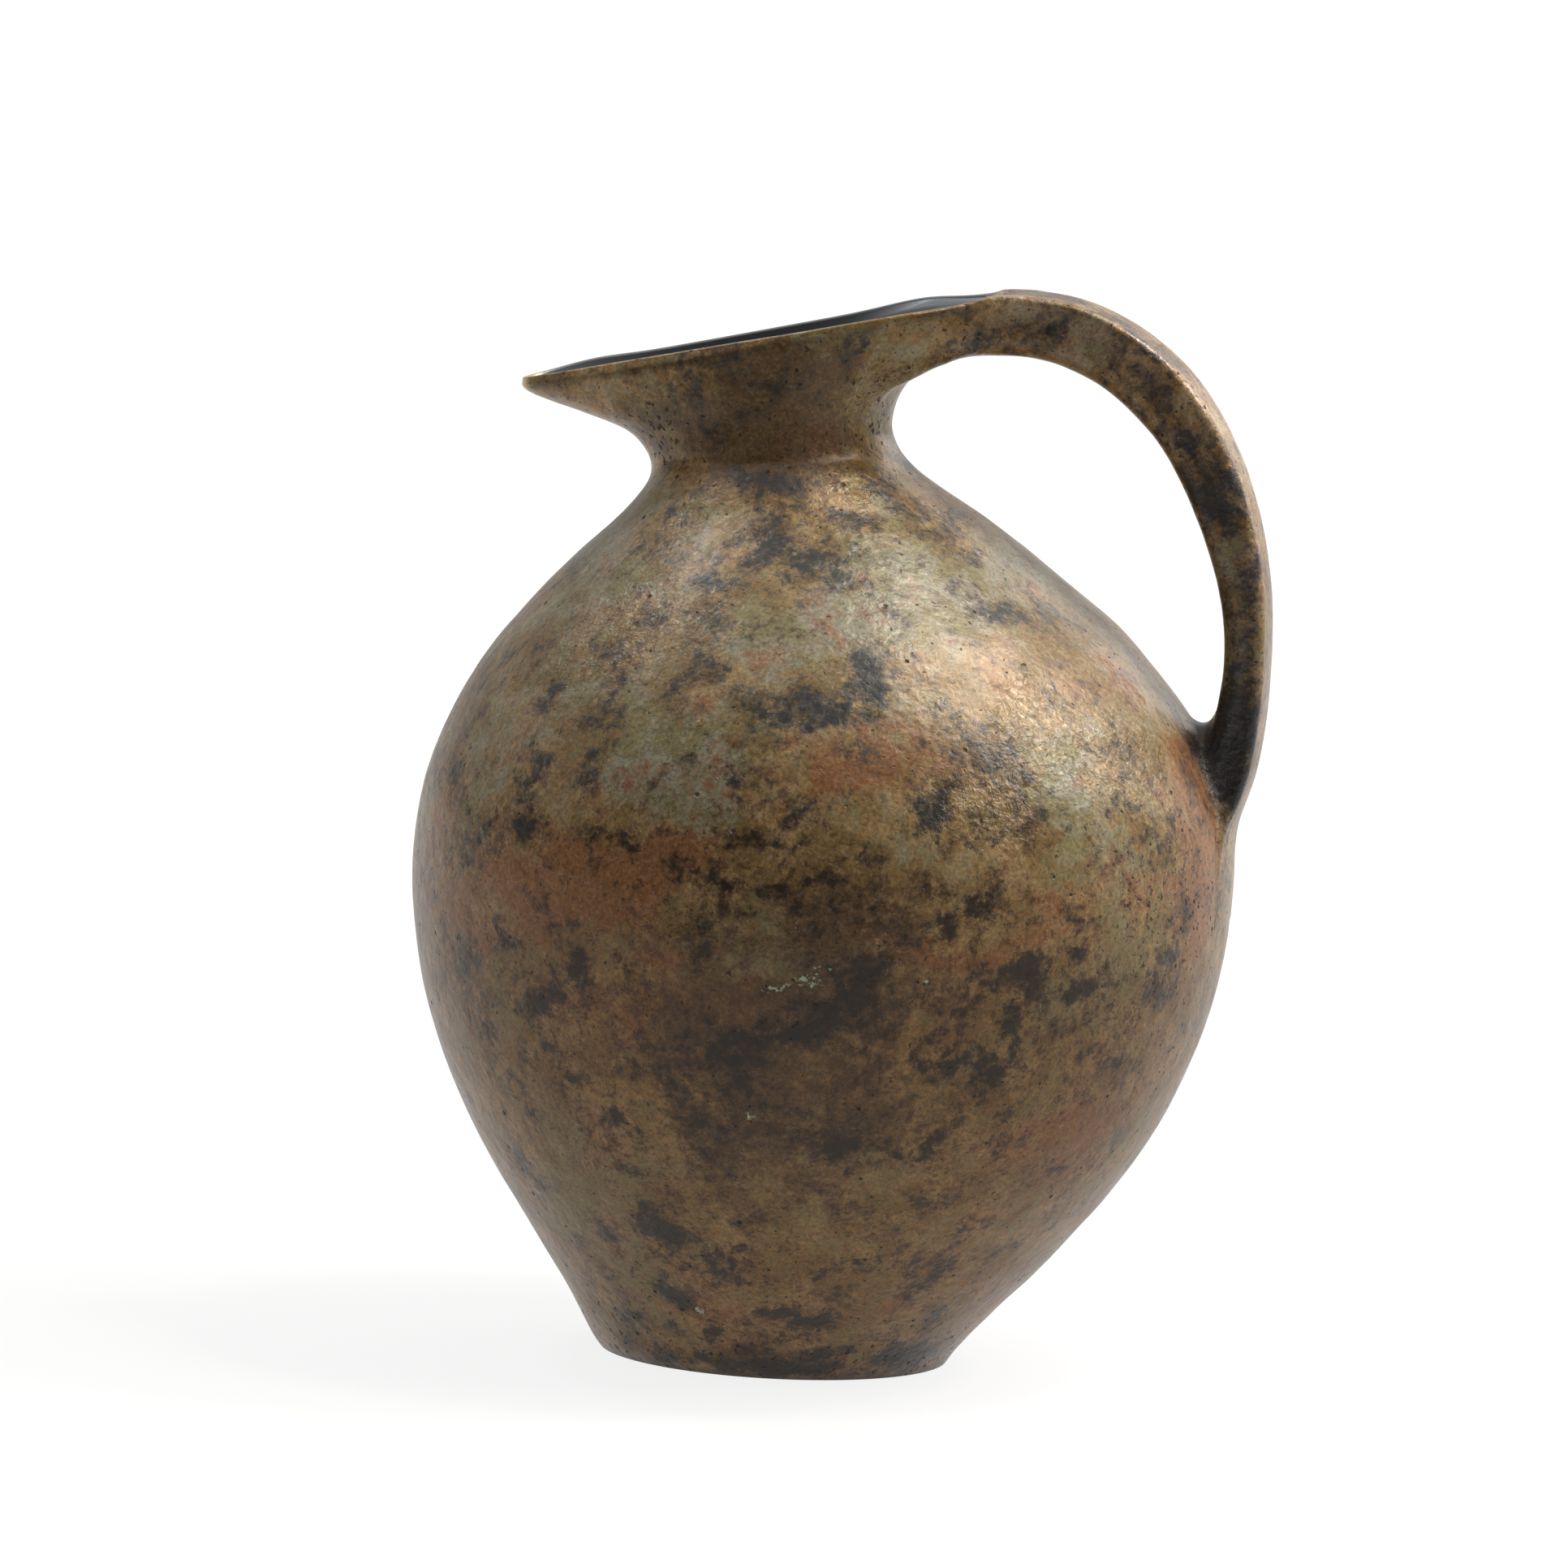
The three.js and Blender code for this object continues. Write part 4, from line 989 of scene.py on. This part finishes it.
def layers(P, strap=False):
    """Per point: dark (with painted shade in the hollow under the strap's lower root), warm and olive; then pits,
    verdigris, relief, and brown that is partly painted shade.
    """
    warp = np.stack([fbm(P, 13.0, 3, 100), fbm(P, 13.0, 3, 140), fbm(P, 13.0, 3, 180)], -1)
    W = P + 3.4 * warp
    back = smooth(P[:, 1], -8, 22)

    def both_sides(spots, at):
        return patches(at, spots) * (1 - back) + patches(at, turned(spots, -7.0)) * back

    z = P[:, 2]
    if strap:
        near = np.abs(P) * (1, -1, 1)
        near[:, 0] = P[:, 0]
        dark = patches(near + 1.2 * warp, DARK_STRAP) + 0.12
        warm = np.zeros(len(P)) + 0.1
        olive = 0.35 * smooth(fbm(P, 30.0, 2, 291), -0.2, 0.3)
        green = np.zeros(len(P))
        relief = np.full(len(P), 0.35)
        brown = 0.34 - 0.25 * smooth(-z, -190, -150)
    else:
        dark, warm, olive = (1.2 * both_sides(k, W) for k in (DARK, WARM, OLIVE))
        green = patches(P + 1.2 * warp, GREEN)
        relief = both_sides(RELIEF, W)
        # brown: the listed brown patches, partly painted shade, and browner in the lowest 8 mm by the foot
        brown = both_sides(BROWN_AND_SHADE, W) + 0.7 * smooth(-z, -8, -1)
    # painted shade in the hollow under the strap's lower root, added to the dark patches; the relief is raised there
    # too
    hollow = patches(np.stack([P[:, 0], -np.abs(P[:, 1]), P[:, 2]], -1), HOLLOW_SHADE)
    dark = dark + 1.1 * hollow
    relief = np.maximum(relief, np.minimum(hollow, 1.0))
    warm = warm + 0.35 * fbm(P, 24.0, 3, 251)
    olive = olive + 0.4 * fbm(P, 30.0, 3, 271)
    pits = 0.12 + 0.6 * smooth(-z, -26, -4) * (z > 0) + 0.25 * smooth(z, 212, 225)
    for x, y, zz, ru, rv, much in ((-40, -17, 232, 13, 7, 1.0), (-30, -18, 222, 8, 6, 0.8), (16, -16, 238, 7, 12, 0.9)):
        pits = pits + much * patches(P, [(x, y, zz, ru, rv, 1.0)]) * (not strap)
    pits = pits + 1.1 * np.exp(-(((P[:, 0] - 96) / 16) ** 2 + ((z - 122) / 22) ** 2)) * smooth(-P[:, 1], 8, 24)
    return dark, warm, olive, pits, green, relief, brown


def paint(obj, V, wear=None, inside=None, shade_and_dark_marks=None, strap=None):
    if strap is None:
        both_layers = layers(V)
    else:
        both_layers = [a * (1 - strap) + b * strap for a, b in zip(layers(V), layers(V, True))]
    dark, warm, olive, pits, green, relief, brown = both_layers
    zero = np.zeros(len(V))
    wear = zero if wear is None else wear
    inside = zero if inside is None else inside
    shade_and_dark_marks = zero if shade_and_dark_marks is None else shade_and_dark_marks
    for name, cols in (("tint", (dark, warm, olive)), ("marks", (wear, inside, shade_and_dark_marks)), ("flaws", (pits, green, relief)), ("veil", (brown, zero, zero))):
        at = obj.data.attributes.new(name, "FLOAT_COLOR", "POINT")
        rgba = np.stack([*cols, np.ones(len(V))], -1).astype(np.float32)
        at.data.foreach_set("color", rgba.ravel())


class Nodes:
    """Short names for the shader nodes that the patina uses."""

    def __init__(self, tree):
        self.t = tree

    def add(self, kind, **props):
        n = self.t.nodes.new(kind)
        for k, v in props.items():
            setattr(n, k, v)
        return n

    def put(self, socket, value):
        if hasattr(value, "is_output"):
            self.t.links.new(value, socket)
        elif isinstance(value, (tuple, list)):
            socket.default_value = (*value, 1.0) if len(value) == 3 and len(socket.default_value) == 4 else value
        else:
            socket.default_value = value

    def math(self, op, a, b=0.0, c=0.0, clamp=False):
        n = self.add("ShaderNodeMath", operation=op, use_clamp=clamp)
        for i, v in enumerate((a, b, c)):
            self.put(n.inputs[i], v)
        return n.outputs[0]

    def step(self, x, lo, hi, a=0.0, b=1.0):
        n = self.add("ShaderNodeMapRange", interpolation_type="SMOOTHSTEP")
        self.put(n.inputs["Value"], x)
        for k, v in (("From Min", lo), ("From Max", hi), ("To Min", a), ("To Max", b)):
            self.put(n.inputs[k], v)
        return n.outputs[0]

    def mix(self, f, a, b, blend="MIX"):
        n = self.add("ShaderNodeMix", data_type="RGBA", blend_type=blend)
        self.put(n.inputs[0], f)
        self.put(n.inputs[6], a)
        self.put(n.inputs[7], b)
        return n.outputs[2]

    def noise(self, at, size, detail=2.0, rough=0.5, distortion=0.0):
        n = self.add("ShaderNodeTexNoise", noise_dimensions="3D")
        self.put(n.inputs["Vector"], at)
        self.put(n.inputs["Scale"], 1.0 / size)
        self.put(n.inputs["Detail"], detail)
        self.put(n.inputs["Roughness"], rough)
        self.put(n.inputs["Distortion"], distortion)
        return n.outputs[0]

    def cells(self, at, size, rand=1.0):
        n = self.add("ShaderNodeTexVoronoi", voronoi_dimensions="3D", feature="F1")
        self.put(n.inputs["Vector"], at)
        self.put(n.inputs["Scale"], 1.0 / size)
        self.put(n.inputs["Randomness"], rand)
        return n.outputs["Distance"], n.outputs["Color"]

    def split(self, v):
        n = self.add("ShaderNodeSeparateColor")
        self.put(n.inputs[0], v)
        return n.outputs[0], n.outputs[1], n.outputs[2]

    def attribute(self, name):
        return self.split(self.add("ShaderNodeAttribute", attribute_name=name).outputs["Color"])


OCHRE = (0.135, 0.079, 0.027)
TAN = (0.215, 0.145, 0.064)
OLIVE_C = (0.135, 0.112, 0.048)
GREYGREEN = (0.172, 0.162, 0.112)
ORANGE = (0.160, 0.067, 0.025)
BROWN = (0.060, 0.035, 0.018)
BLUEBLACK = (0.016, 0.018, 0.019)
# the dark patina's colour on the shoulder, lifted as a painted sheen of the light from above
SLATE_WITH_PAINTED_SHEEN = (0.046, 0.050, 0.050)
BLACKBROWN = (0.013, 0.010, 0.008)
DARKBROWN = (0.022, 0.014, 0.009)
BRASS = (0.62, 0.47, 0.23)
VERDIGRIS = (0.30, 0.38, 0.24)
SLATE = (0.125, 0.132, 0.138)


def patina(name, shade=(1.0, 1.0, 1.0), plain=False, worn=None):
    m = bpy.data.materials.new(name)
    m.use_nodes = True
    N = Nodes(m.node_tree)
    bsdf = m.node_tree.nodes["Principled BSDF"]
    co = N.add("ShaderNodeTexCoord").outputs["Object"]
    mm = N.add("ShaderNodeVectorMath", operation="SCALE")
    N.put(mm.inputs[0], co)
    N.put(mm.inputs["Scale"], 1000.0)
    P = mm.outputs[0]
    if plain:
        dark, warm, olive, pits, green, relief, brown = 0.35, 0.2, 0.1, 0.5, 0.0, 0.3, 0.6
        wear = inside = shade_and_dark_marks = 0.0
    else:
        dark, warm, olive = N.attribute("tint")
        wear, inside, shade_and_dark_marks = N.attribute("marks")
        pits, green, relief = N.attribute("flaws")
        brown = N.attribute("veil")[0]

    def centred(x, k):
        return N.math("MULTIPLY", N.math("SUBTRACT", x, 0.5), k)

    shift = N.add("ShaderNodeVectorMath", operation="ADD")
    N.put(shift.inputs[0], P)
    N.put(shift.inputs[1], (71.0, 33.0, 19.0))
    Q = shift.outputs[0]
    cloud = N.noise(P, 14.0, 9, 0.74, 0.3)
    veil = N.noise(Q, 18.0, 9, 0.72, 0.3)
    height = N.split(P)[2]
    # high rises from the belly to the shoulder. Up there it makes the dark flecks and dark patches paler and greyer, a
    # painted sheen of the light from above, and the olive greyer
    high = N.step(height, 120.0, 164.0)
    n9 = N.noise(P, 9.0, 4, 0.6, 0.4)
    n3 = N.noise(Q, 3.4, 5, 0.66, 0.3)
    n1 = N.noise(P, 1.1, 3, 0.6)
    n04 = N.noise(P, 0.45, 2, 0.5)

    # ground colour: ochre to tan, with olive and orange over it
    ground = N.mix(N.step(veil, 0.42, 0.60), OCHRE, TAN)
    o = N.step(N.math("ADD", olive, N.math("ADD", centred(cloud, -4.5), centred(n3, 2.2))), -0.1, 0.7)
    ground = N.mix(N.math("MULTIPLY", o, 0.95), ground, N.mix(N.math("MULTIPLY", N.step(veil, 0.44, 0.56), N.math("MULTIPLY_ADD", high, 0.7, 0.3)), OLIVE_C, GREYGREEN))
    w = N.step(N.math("ADD", warm, N.math("ADD", centred(veil, 4.5), centred(n3, 2.8))), 0.1, 1.0)
    ground = N.mix(N.math("MULTIPLY", w, 0.85), ground, ORANGE)
    # brown patches over the ground, partly painted shade
    u = N.step(N.math("ADD", brown, N.math("ADD", centred(cloud, 4.0), centred(n3, 2.0))), 0.05, 1.1)
    ground = N.mix(N.math("MULTIPLY", u, 0.80), ground, BROWN)
    # dark flecks in swarms, and a light dust between them
    swarm = N.math("ADD", centred(N.noise(Q, 1.5, 6, 0.78, 0.2), 4.6), N.math("ADD", centred(cloud, 2.6), N.math("MULTIPLY", dark, 0.45)))
    fleck = N.step(swarm, 0.12, 0.62)
    ground = N.mix(N.math("MULTIPLY", fleck, 0.66), ground, N.mix(high, (0.026, 0.016, 0.010), (0.036, 0.032, 0.024)))
    grain = N.step(N.math("ADD", centred(n1, 1.0), centred(N.noise(Q, 0.8, 3, 0.7), 1.0)), -0.22, 0.22, 0.76, 1.22)
    ground = N.mix(1.0, ground, grain, "MULTIPLY")
    dust = N.step(N.math("ADD", centred(n1, 2.2), centred(n04, 2.2)), 0.05, 0.55)
    ground = N.mix(N.math("MULTIPLY", dust, 0.13), ground, (0.30, 0.22, 0.12))

    # dark patches with ragged, smoky edges; on the shoulder they get a paler slate colour, a painted sheen
    edge = N.math("ADD", centred(cloud, 5.2), N.math("ADD", centred(n3, 4.6), centred(n1, 2.6)))
    dd = N.math("ADD", dark, edge)
    soft = N.step(dd, 0.10, 1.15)
    hard = N.math("MULTIPLY", N.step(dd, 0.65, 1.55), N.step(n1, 0.34, 0.58, 0.62, 1.0))
    deep = N.mix(high, DARKBROWN, SLATE_WITH_PAINTED_SHEEN)
    colour = N.mix(N.math("MULTIPLY", soft, 0.62), ground, N.mix(N.step(veil, 0.42, 0.58), DARKBROWN, deep))
    colour = N.mix(N.math("MULTIPLY", hard, 0.86), colour, N.mix(high, BLACKBROWN, BLUEBLACK))

    # painted light and shade: darker and warmer round the bowl and belly, paler on the shoulder and palest on the neck,
    # as the light falls
    painted_light_and_shade = N.mix(N.step(height, 98.0, 142.0), (0.84, 0.695, 0.535), (1.25, 1.23, 1.24))
    painted_light_and_shade = N.mix(N.step(height, 200.0, 228.0), painted_light_and_shade, (1.46, 1.34, 1.18))
    colour = N.mix(1.0, colour, painted_light_and_shade, "MULTIPLY")

    # verdigris crumbs
    gr = N.step(N.math("ADD", green, centred(n1, 2.6)), 0.65, 1.05)
    colour = N.mix(N.math("MULTIPLY", gr, N.math("MULTIPLY", N.step(green, 0.1, 0.5), 0.8)), colour, VERDIGRIS)

    # casting pits, sparse and round, denser where `pits` is high
    dist, cell = N.cells(P, 3.3)
    cr, cg, _ = N.split(cell)
    size = N.math("MULTIPLY_ADD", cg, 0.16, 0.07)
    some = N.math("LESS_THAN", cr, N.math("MULTIPLY", pits, 0.55))
    hole = N.math("MULTIPLY", N.math("SUBTRACT", 1.0, N.step(N.math("DIVIDE", dist, size), 0.55, 1.15)), some)
    gap = N.math("SUBTRACT", N.noise(P, 1.5, 2, 0.5, 0.4), N.math("MULTIPLY_ADD", pits, 0.085, 0.262))
    hole = N.math("MAXIMUM", hole, N.math("MULTIPLY", N.step(gap, -0.02, 0.035, 1.0, 0.0), 0.85))
    hole = N.math("MULTIPLY", hole, N.math("SUBTRACT", 1.0, inside))
    colour = N.mix(N.math("MULTIPLY", hole, 0.85), colour, (0.012, 0.010, 0.008))

    # the inside; painted shade under the rim, at the foot's bottom edge, in the crease and fillet of the strap's lower
    # root and on the strap's sides, with a dark mark on the strap's top by the rim; and wear
    colour = N.mix(inside, colour, SLATE)
    colour = N.mix(N.math("MULTIPLY", shade_and_dark_marks, 0.85), colour, (0.022, 0.018, 0.016))
    ww = N.step(N.math("ADD", wear, centred(n1, 0.9)), 0.35, 0.95)
    colour = N.mix(N.math("MULTIPLY", ww, 0.85), colour, worn or BRASS)
    colour = N.mix(1.0, colour, shade, "MULTIPLY")
    N.put(bsdf.inputs["Base Color"], colour)
    N.put(bsdf.inputs["Metallic"], N.math("MULTIPLY_ADD", ww, 0.6, 0.12))

    rough = N.math("MULTIPLY_ADD", n9, 0.14, 0.25)
    rough = N.math("ADD", rough, N.math("MULTIPLY", N.step(n1, 0.4, 0.7), 0.06))
    rough = N.math("SUBTRACT", rough, N.math("MULTIPLY", soft, 0.03))
    rough = N.math("SUBTRACT", rough, N.math("MULTIPLY", N.step(relief, 0.35, 0.95), 0.15))
    rough = N.math("ADD", rough, N.math("MULTIPLY", hole, 0.4), clamp=True)
    N.put(bsdf.inputs["Roughness"], rough)
    N.put(bsdf.inputs["Specular IOR Level"], 0.33)
    bsdf.inputs["Specular Tint"].default_value = (1.0, 0.96, 0.92, 1.0)

    # relief: low undulations everywhere, a rough cast skin in places
    cast = N.math("MULTIPLY_ADD", N.step(relief, 0.15, 0.8), 0.72, 0.28)
    leather = N.math("MULTIPLY", centred(N.noise(P, 1.9, 4, 0.62, 0.6), 0.50), cast)
    ridge = N.math("ABSOLUTE", centred(N.noise(Q, 2.6, 3, 0.6, 1.0), 2.0))
    crack = N.math("MULTIPLY", N.math("MULTIPLY", N.step(ridge, 0.0, 0.10, 1.0, 0.0), N.step(n9, 0.48, 0.62)), cast)
    dents = N.math("MULTIPLY", N.step(N.noise(P, 6.0, 2, 0.5), 0.35, 0.65), 0.11)
    fine = N.math("MULTIPLY", n04, 0.014)
    h = N.math("ADD", N.math("ADD", leather, dents), fine)
    h = N.math("SUBTRACT", h, N.math("MULTIPLY", crack, 0.08))
    h = N.math("SUBTRACT", h, N.math("MULTIPLY", hole, 0.35))
    h = N.math("MULTIPLY", h, N.math("SUBTRACT", 1.0, N.math("MULTIPLY", inside, 0.8)))
    bump = N.add("ShaderNodeBump")
    bump.inputs["Strength"].default_value = 1.0
    bump.inputs["Distance"].default_value = 0.001
    N.put(bump.inputs["Height"], h)
    N.put(bsdf.inputs["Normal"], bump.outputs[0])
    return m


body_bronze = patina("bronze_body")
neck_bronze = patina("bronze_neck")
handle_bronze = patina("bronze_handle", (0.99, 1.0, 1.16), worn=(0.46, 0.36, 0.27))
foot_bronze = patina("bronze_foot", (0.7, 0.7, 0.7), plain=True)


# wear: the beak's tip and the rim's edge on the neck, the arrises of the strap
tip = np.array([-74.5, 0.0, 239.5])
neck_over = over_rim(NV)
tip_d = np.linalg.norm(NV - tip, axis=1)
rim_wear = np.exp(-((neck_over + 0.2) / 0.45) ** 2) * 0.32 * (0.6 + 0.8 * fbm(NV, 9.0, 2, 301))
tip_wear = np.exp(-(tip_d / 7.0) ** 2) * 1.1
n_out = (last_rows[-1] + 1 + 5 + 2) * NA
in_neck = np.zeros(len(NV))
in_neck[n_out:] = 1.0
in_neck[n_out:n_out + 3 * NA] = 0.6
# painted shade in a band just under the rim's lip, on the outside of the neck
under_rim_shade = 0.75 * np.exp(-((neck_over + 2.6) / 1.0) ** 2) * (0.55 + 0.9 * fbm(NV, 7.0, 2, 311))
under_rim_shade[n_out:] = 0
paint(neck_spout, NV, wear=np.clip(rim_wear + tip_wear, 0, 1.2), inside=in_neck, shade_and_dark_marks=np.clip(under_rim_shade, 0, 1))

rows_low = bowl_out[0].shape[0] * NA
in_low = np.zeros(len(LV))
in_low[rows_low:] = 1.0
# painted contact shade on the foot's bottom edge and underside
foot_contact_shade = 0.9 * smooth(-LV[:, 2], -1.6, -0.2)
paint(lower_body, LV, inside=in_low, shade_and_dark_marks=foot_contact_shade)
rows_up = dome_out[0].shape[0] * NA
in_up = np.zeros(len(UV))
in_up[rows_up:] = 1.0
# painted shade in the creases beside the strap's lower root and under it
crease = np.exp(-(((UV[:, 0] - 101) / 6) ** 2 + ((UV[:, 2] - 156) / 13) ** 2)) * np.exp(-((np.abs(UV[:, 1]) - 13) / 4.5) ** 2)
crotch_shade = np.exp(-(((UV[:, 0] - 98) / 6) ** 2 + ((UV[:, 2] - 165) / 7) ** 2)) * smooth(-np.abs(UV[:, 1]), -16, -9)
paint(upper_body, UV, inside=in_up, shade_and_dark_marks=np.clip(0.35 * crease + 0.5 * crotch_shade, 0, 1))

# on the strap: how near a vertex is to the outer arris, and where along it
ring_n = STRAP.shape[1]
across = np.arange(ring_n)
half_i = np.minimum(across, ring_n - across)
arris = np.exp(-((half_i - 18) / 3.2) ** 2)
worn_at = np.interp(STATION, [-1, 1.8, 2.6, 4, 7, 9, 11, 13.5, 15.5, 17, 21], [0.0, 0.15, 0.75, 0.95, 1.0, 0.8, 0.35, 0.6, 0.7, 0.4, 0.2])
hw = 0.6 * worn_at[:, None] * arris[None] * (0.75 + 0.6 * fbm(STRAP, 8.0, 2, 321))
# painted shade on the strap's side faces, strongest towards its lower root; and a dark mark on its top where it leaves
# the rim
side = np.exp(-((half_i - 31) / 7.0) ** 2)
side_shade_at = np.interp(STATION, [-1, 0, 3, 6, 9, 13, 14.5, 16, 18, 19.5], [0.1, 0.25, 0.3, 0.35, 0.3, 0.35, 0.8, 1.0, 0.9, 0.2])
side_shade_and_top_mark = side_shade_at[:, None] * side[None] * (0.8 + 0.7 * fbm(STRAP, 10.0, 3, 331))
top_dark = (half_i < 12)[None] * np.interp(STATION, [-1, 0, 1.3, 2.0, 2.6], [0.9, 0.9, 0.8, 0.35, 0.0])[:, None]
side_shade_and_top_mark = np.clip(np.maximum(side_shade_and_top_mark, top_dark * 0.8), 0, 1)
order = slice(None, None, -1) if np.sum(grid_normals(STRAP) * STRAP_N) < 0 else slice(None)
pad = 2 * ring_n
strap_n = STRAP.shape[0] * ring_n
w_all, strap_shade_and_marks = np.zeros(len(HV)), np.zeros(len(HV))
w_all[:strap_n] = hw[:, order].ravel()
strap_shade_and_marks[:strap_n] = side_shade_and_top_mark[:, order].ravel()
bead = slice(len(HV) - len(BV), len(HV))
# painted shade along the middle of the lower root's fillet, where strap and body meet
strap_shade_and_marks[bead] = 0.85 * smooth(-np.abs(BW - 0.5), -0.42, -0.12) * smooth(BV[:, 2], 140, 158)
strap_w = np.ones(len(HV))
high = HV[:, 2] > 215
strap_w[high] = smooth(HV[high, 0], 34, 60)
strap_w[bead] = BW
paint(handle, HV, wear=np.clip(w_all, 0, 1.2), shade_and_dark_marks=strap_shade_and_marks, strap=strap_w)

for o, m in ((lower_body, body_bronze), (upper_body, body_bronze), (neck_spout, neck_bronze), (handle, handle_bronze)):
    o.data.materials.append(m)
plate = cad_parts["base_plate"]
plate.data.materials.clear()
plate.data.materials.append(foot_bronze)

for piece, node, slot in (
    (lower_body, "lower_body", "bronze_body"),
    (upper_body, "upper_body", "bronze_body"),
    (neck_spout, "neck_spout", "bronze_neck"),
    (handle, "handle", "bronze_handle"),
):
    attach(piece, "root")
    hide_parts(node)

# -------------------------------------------------------------------- stage
bpy.ops.mesh.primitive_plane_add(size=60, location=(0, 20, -0.0002))
floor = bpy.context.object
floor.name = "floor"
fm = bpy.data.materials.new("floor_white")
fm.use_nodes = True
fb = fm.node_tree.nodes["Principled BSDF"]
fb.inputs["Base Color"].default_value = (0.10, 0.098, 0.094, 1)
fb.inputs["Roughness"].default_value = 0.9
fb.inputs["Specular IOR Level"].default_value = 0.1
fb.inputs["Emission Color"].default_value = (1, 1, 1, 1)
FN = Nodes(fm.node_tree)
fl = FN.add("ShaderNodeVectorMath", operation="LENGTH")
FN.put(fl.inputs[0], FN.add("ShaderNodeNewGeometry").outputs["Position"])
fy = FN.add("ShaderNodeSeparateXYZ")
FN.put(fy.inputs[0], fl.inputs[0].links[0].from_socket)
front = FN.step(fy.outputs[1], -1.1, -0.42, 0.22, 1.0)
FN.put(fb.inputs["Emission Strength"], FN.math("MULTIPLY", FN.step(fl.outputs["Value"], 0.30, 1.5, 0.85, 0.98), front))
floor.data.materials.append(fm)
floor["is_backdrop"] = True

# surroundings: a studio that is dark towards the camera and bright overhead, most of all behind
world = bpy.data.worlds.new("world")
bpy.context.scene.world = world
world.use_nodes = True
WN = Nodes(world.node_tree)
gen = WN.add("ShaderNodeTexCoord").outputs["Generated"]
sep = WN.add("ShaderNodeSeparateXYZ")
WN.put(sep.inputs[0], gen)
wx, wy, wz = sep.outputs
# from the dark side of the camera round to the bright wall behind, dimmer on the left
level = WN.step(wy, -0.5, 0.8, 0.05, 0.62)
level = WN.math("ADD", level, WN.math("MULTIPLY", wx, 0.17))
overhead = WN.math("MULTIPLY", WN.step(wz, 0.45, 0.95), WN.step(wy, -0.75, 0.0, 0.35, 1.0))
level = WN.math("MAXIMUM", level, WN.math("MULTIPLY", overhead, 1.0))
bg = world.node_tree.nodes["Background"]
bg.inputs[0].default_value = (1, 1, 1, 1)
WN.put(bg.inputs[1], WN.math("MAXIMUM", level, 0.02))


def area(name, at, to, size, watts, color=(1, 1, 1)):
    d = bpy.data.lights.new(name, "AREA")
    d.shape = "RECTANGLE"
    d.size, d.size_y = size
    d.energy = watts
    d.color = color
    o = bpy.data.objects.new(name, d)
    bpy.context.scene.collection.objects.link(o)
    o.location = at
    o.rotation_euler = (Vector(to) - Vector(at)).to_track_quat("-Z", "Y").to_euler()
    o.visible_camera = False
    return o


def placed(way, far):
    k = far / math.sqrt(sum(c * c for c in way))
    return tuple(m + k * c for m, c in zip(MID, way))


MID = (0.02, -0.02, 0.18)
area("panel_right", placed((0.66, 0.12, 0.74), 1.75), MID, (1.20, 1.20), 34, (1.0, 0.98, 0.94))
area("back_right", placed((0.52, 0.78, 0.42), 1.9), MID, (1.1, 1.1), 9, (1.0, 0.97, 0.94))
area("core_right", placed((0.62, 0.17, 0.76), 1.72), MID, (0.17, 0.17), 6.0, (1.0, 0.99, 0.97))
area("core_top", placed((0.34, 0.04, 0.94), 1.72), MID, (0.20, 0.20), 10.5, (1.0, 0.99, 0.97))
area("panel_left", placed((-0.50, 0.23, 0.83), 1.70), MID, (0.26, 0.26), 5, (0.84, 0.92, 1.0))
area("wide_left", placed((-0.78, -0.05, 0.60), 1.9), MID, (1.7, 1.7), 5, (1.0, 0.98, 0.95))
bpy.context.scene.view_settings.view_transform = "Standard"

visual_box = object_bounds()
rows = []
for label, found in (("cad", cad_box), ("visual", visual_box)):
    lo, hi = found
    rows.append('"%s": [[%.6f, %.6f, %.6f], [%.6f, %.6f, %.6f]]' % ((label,) + tuple(lo) + tuple(hi)))
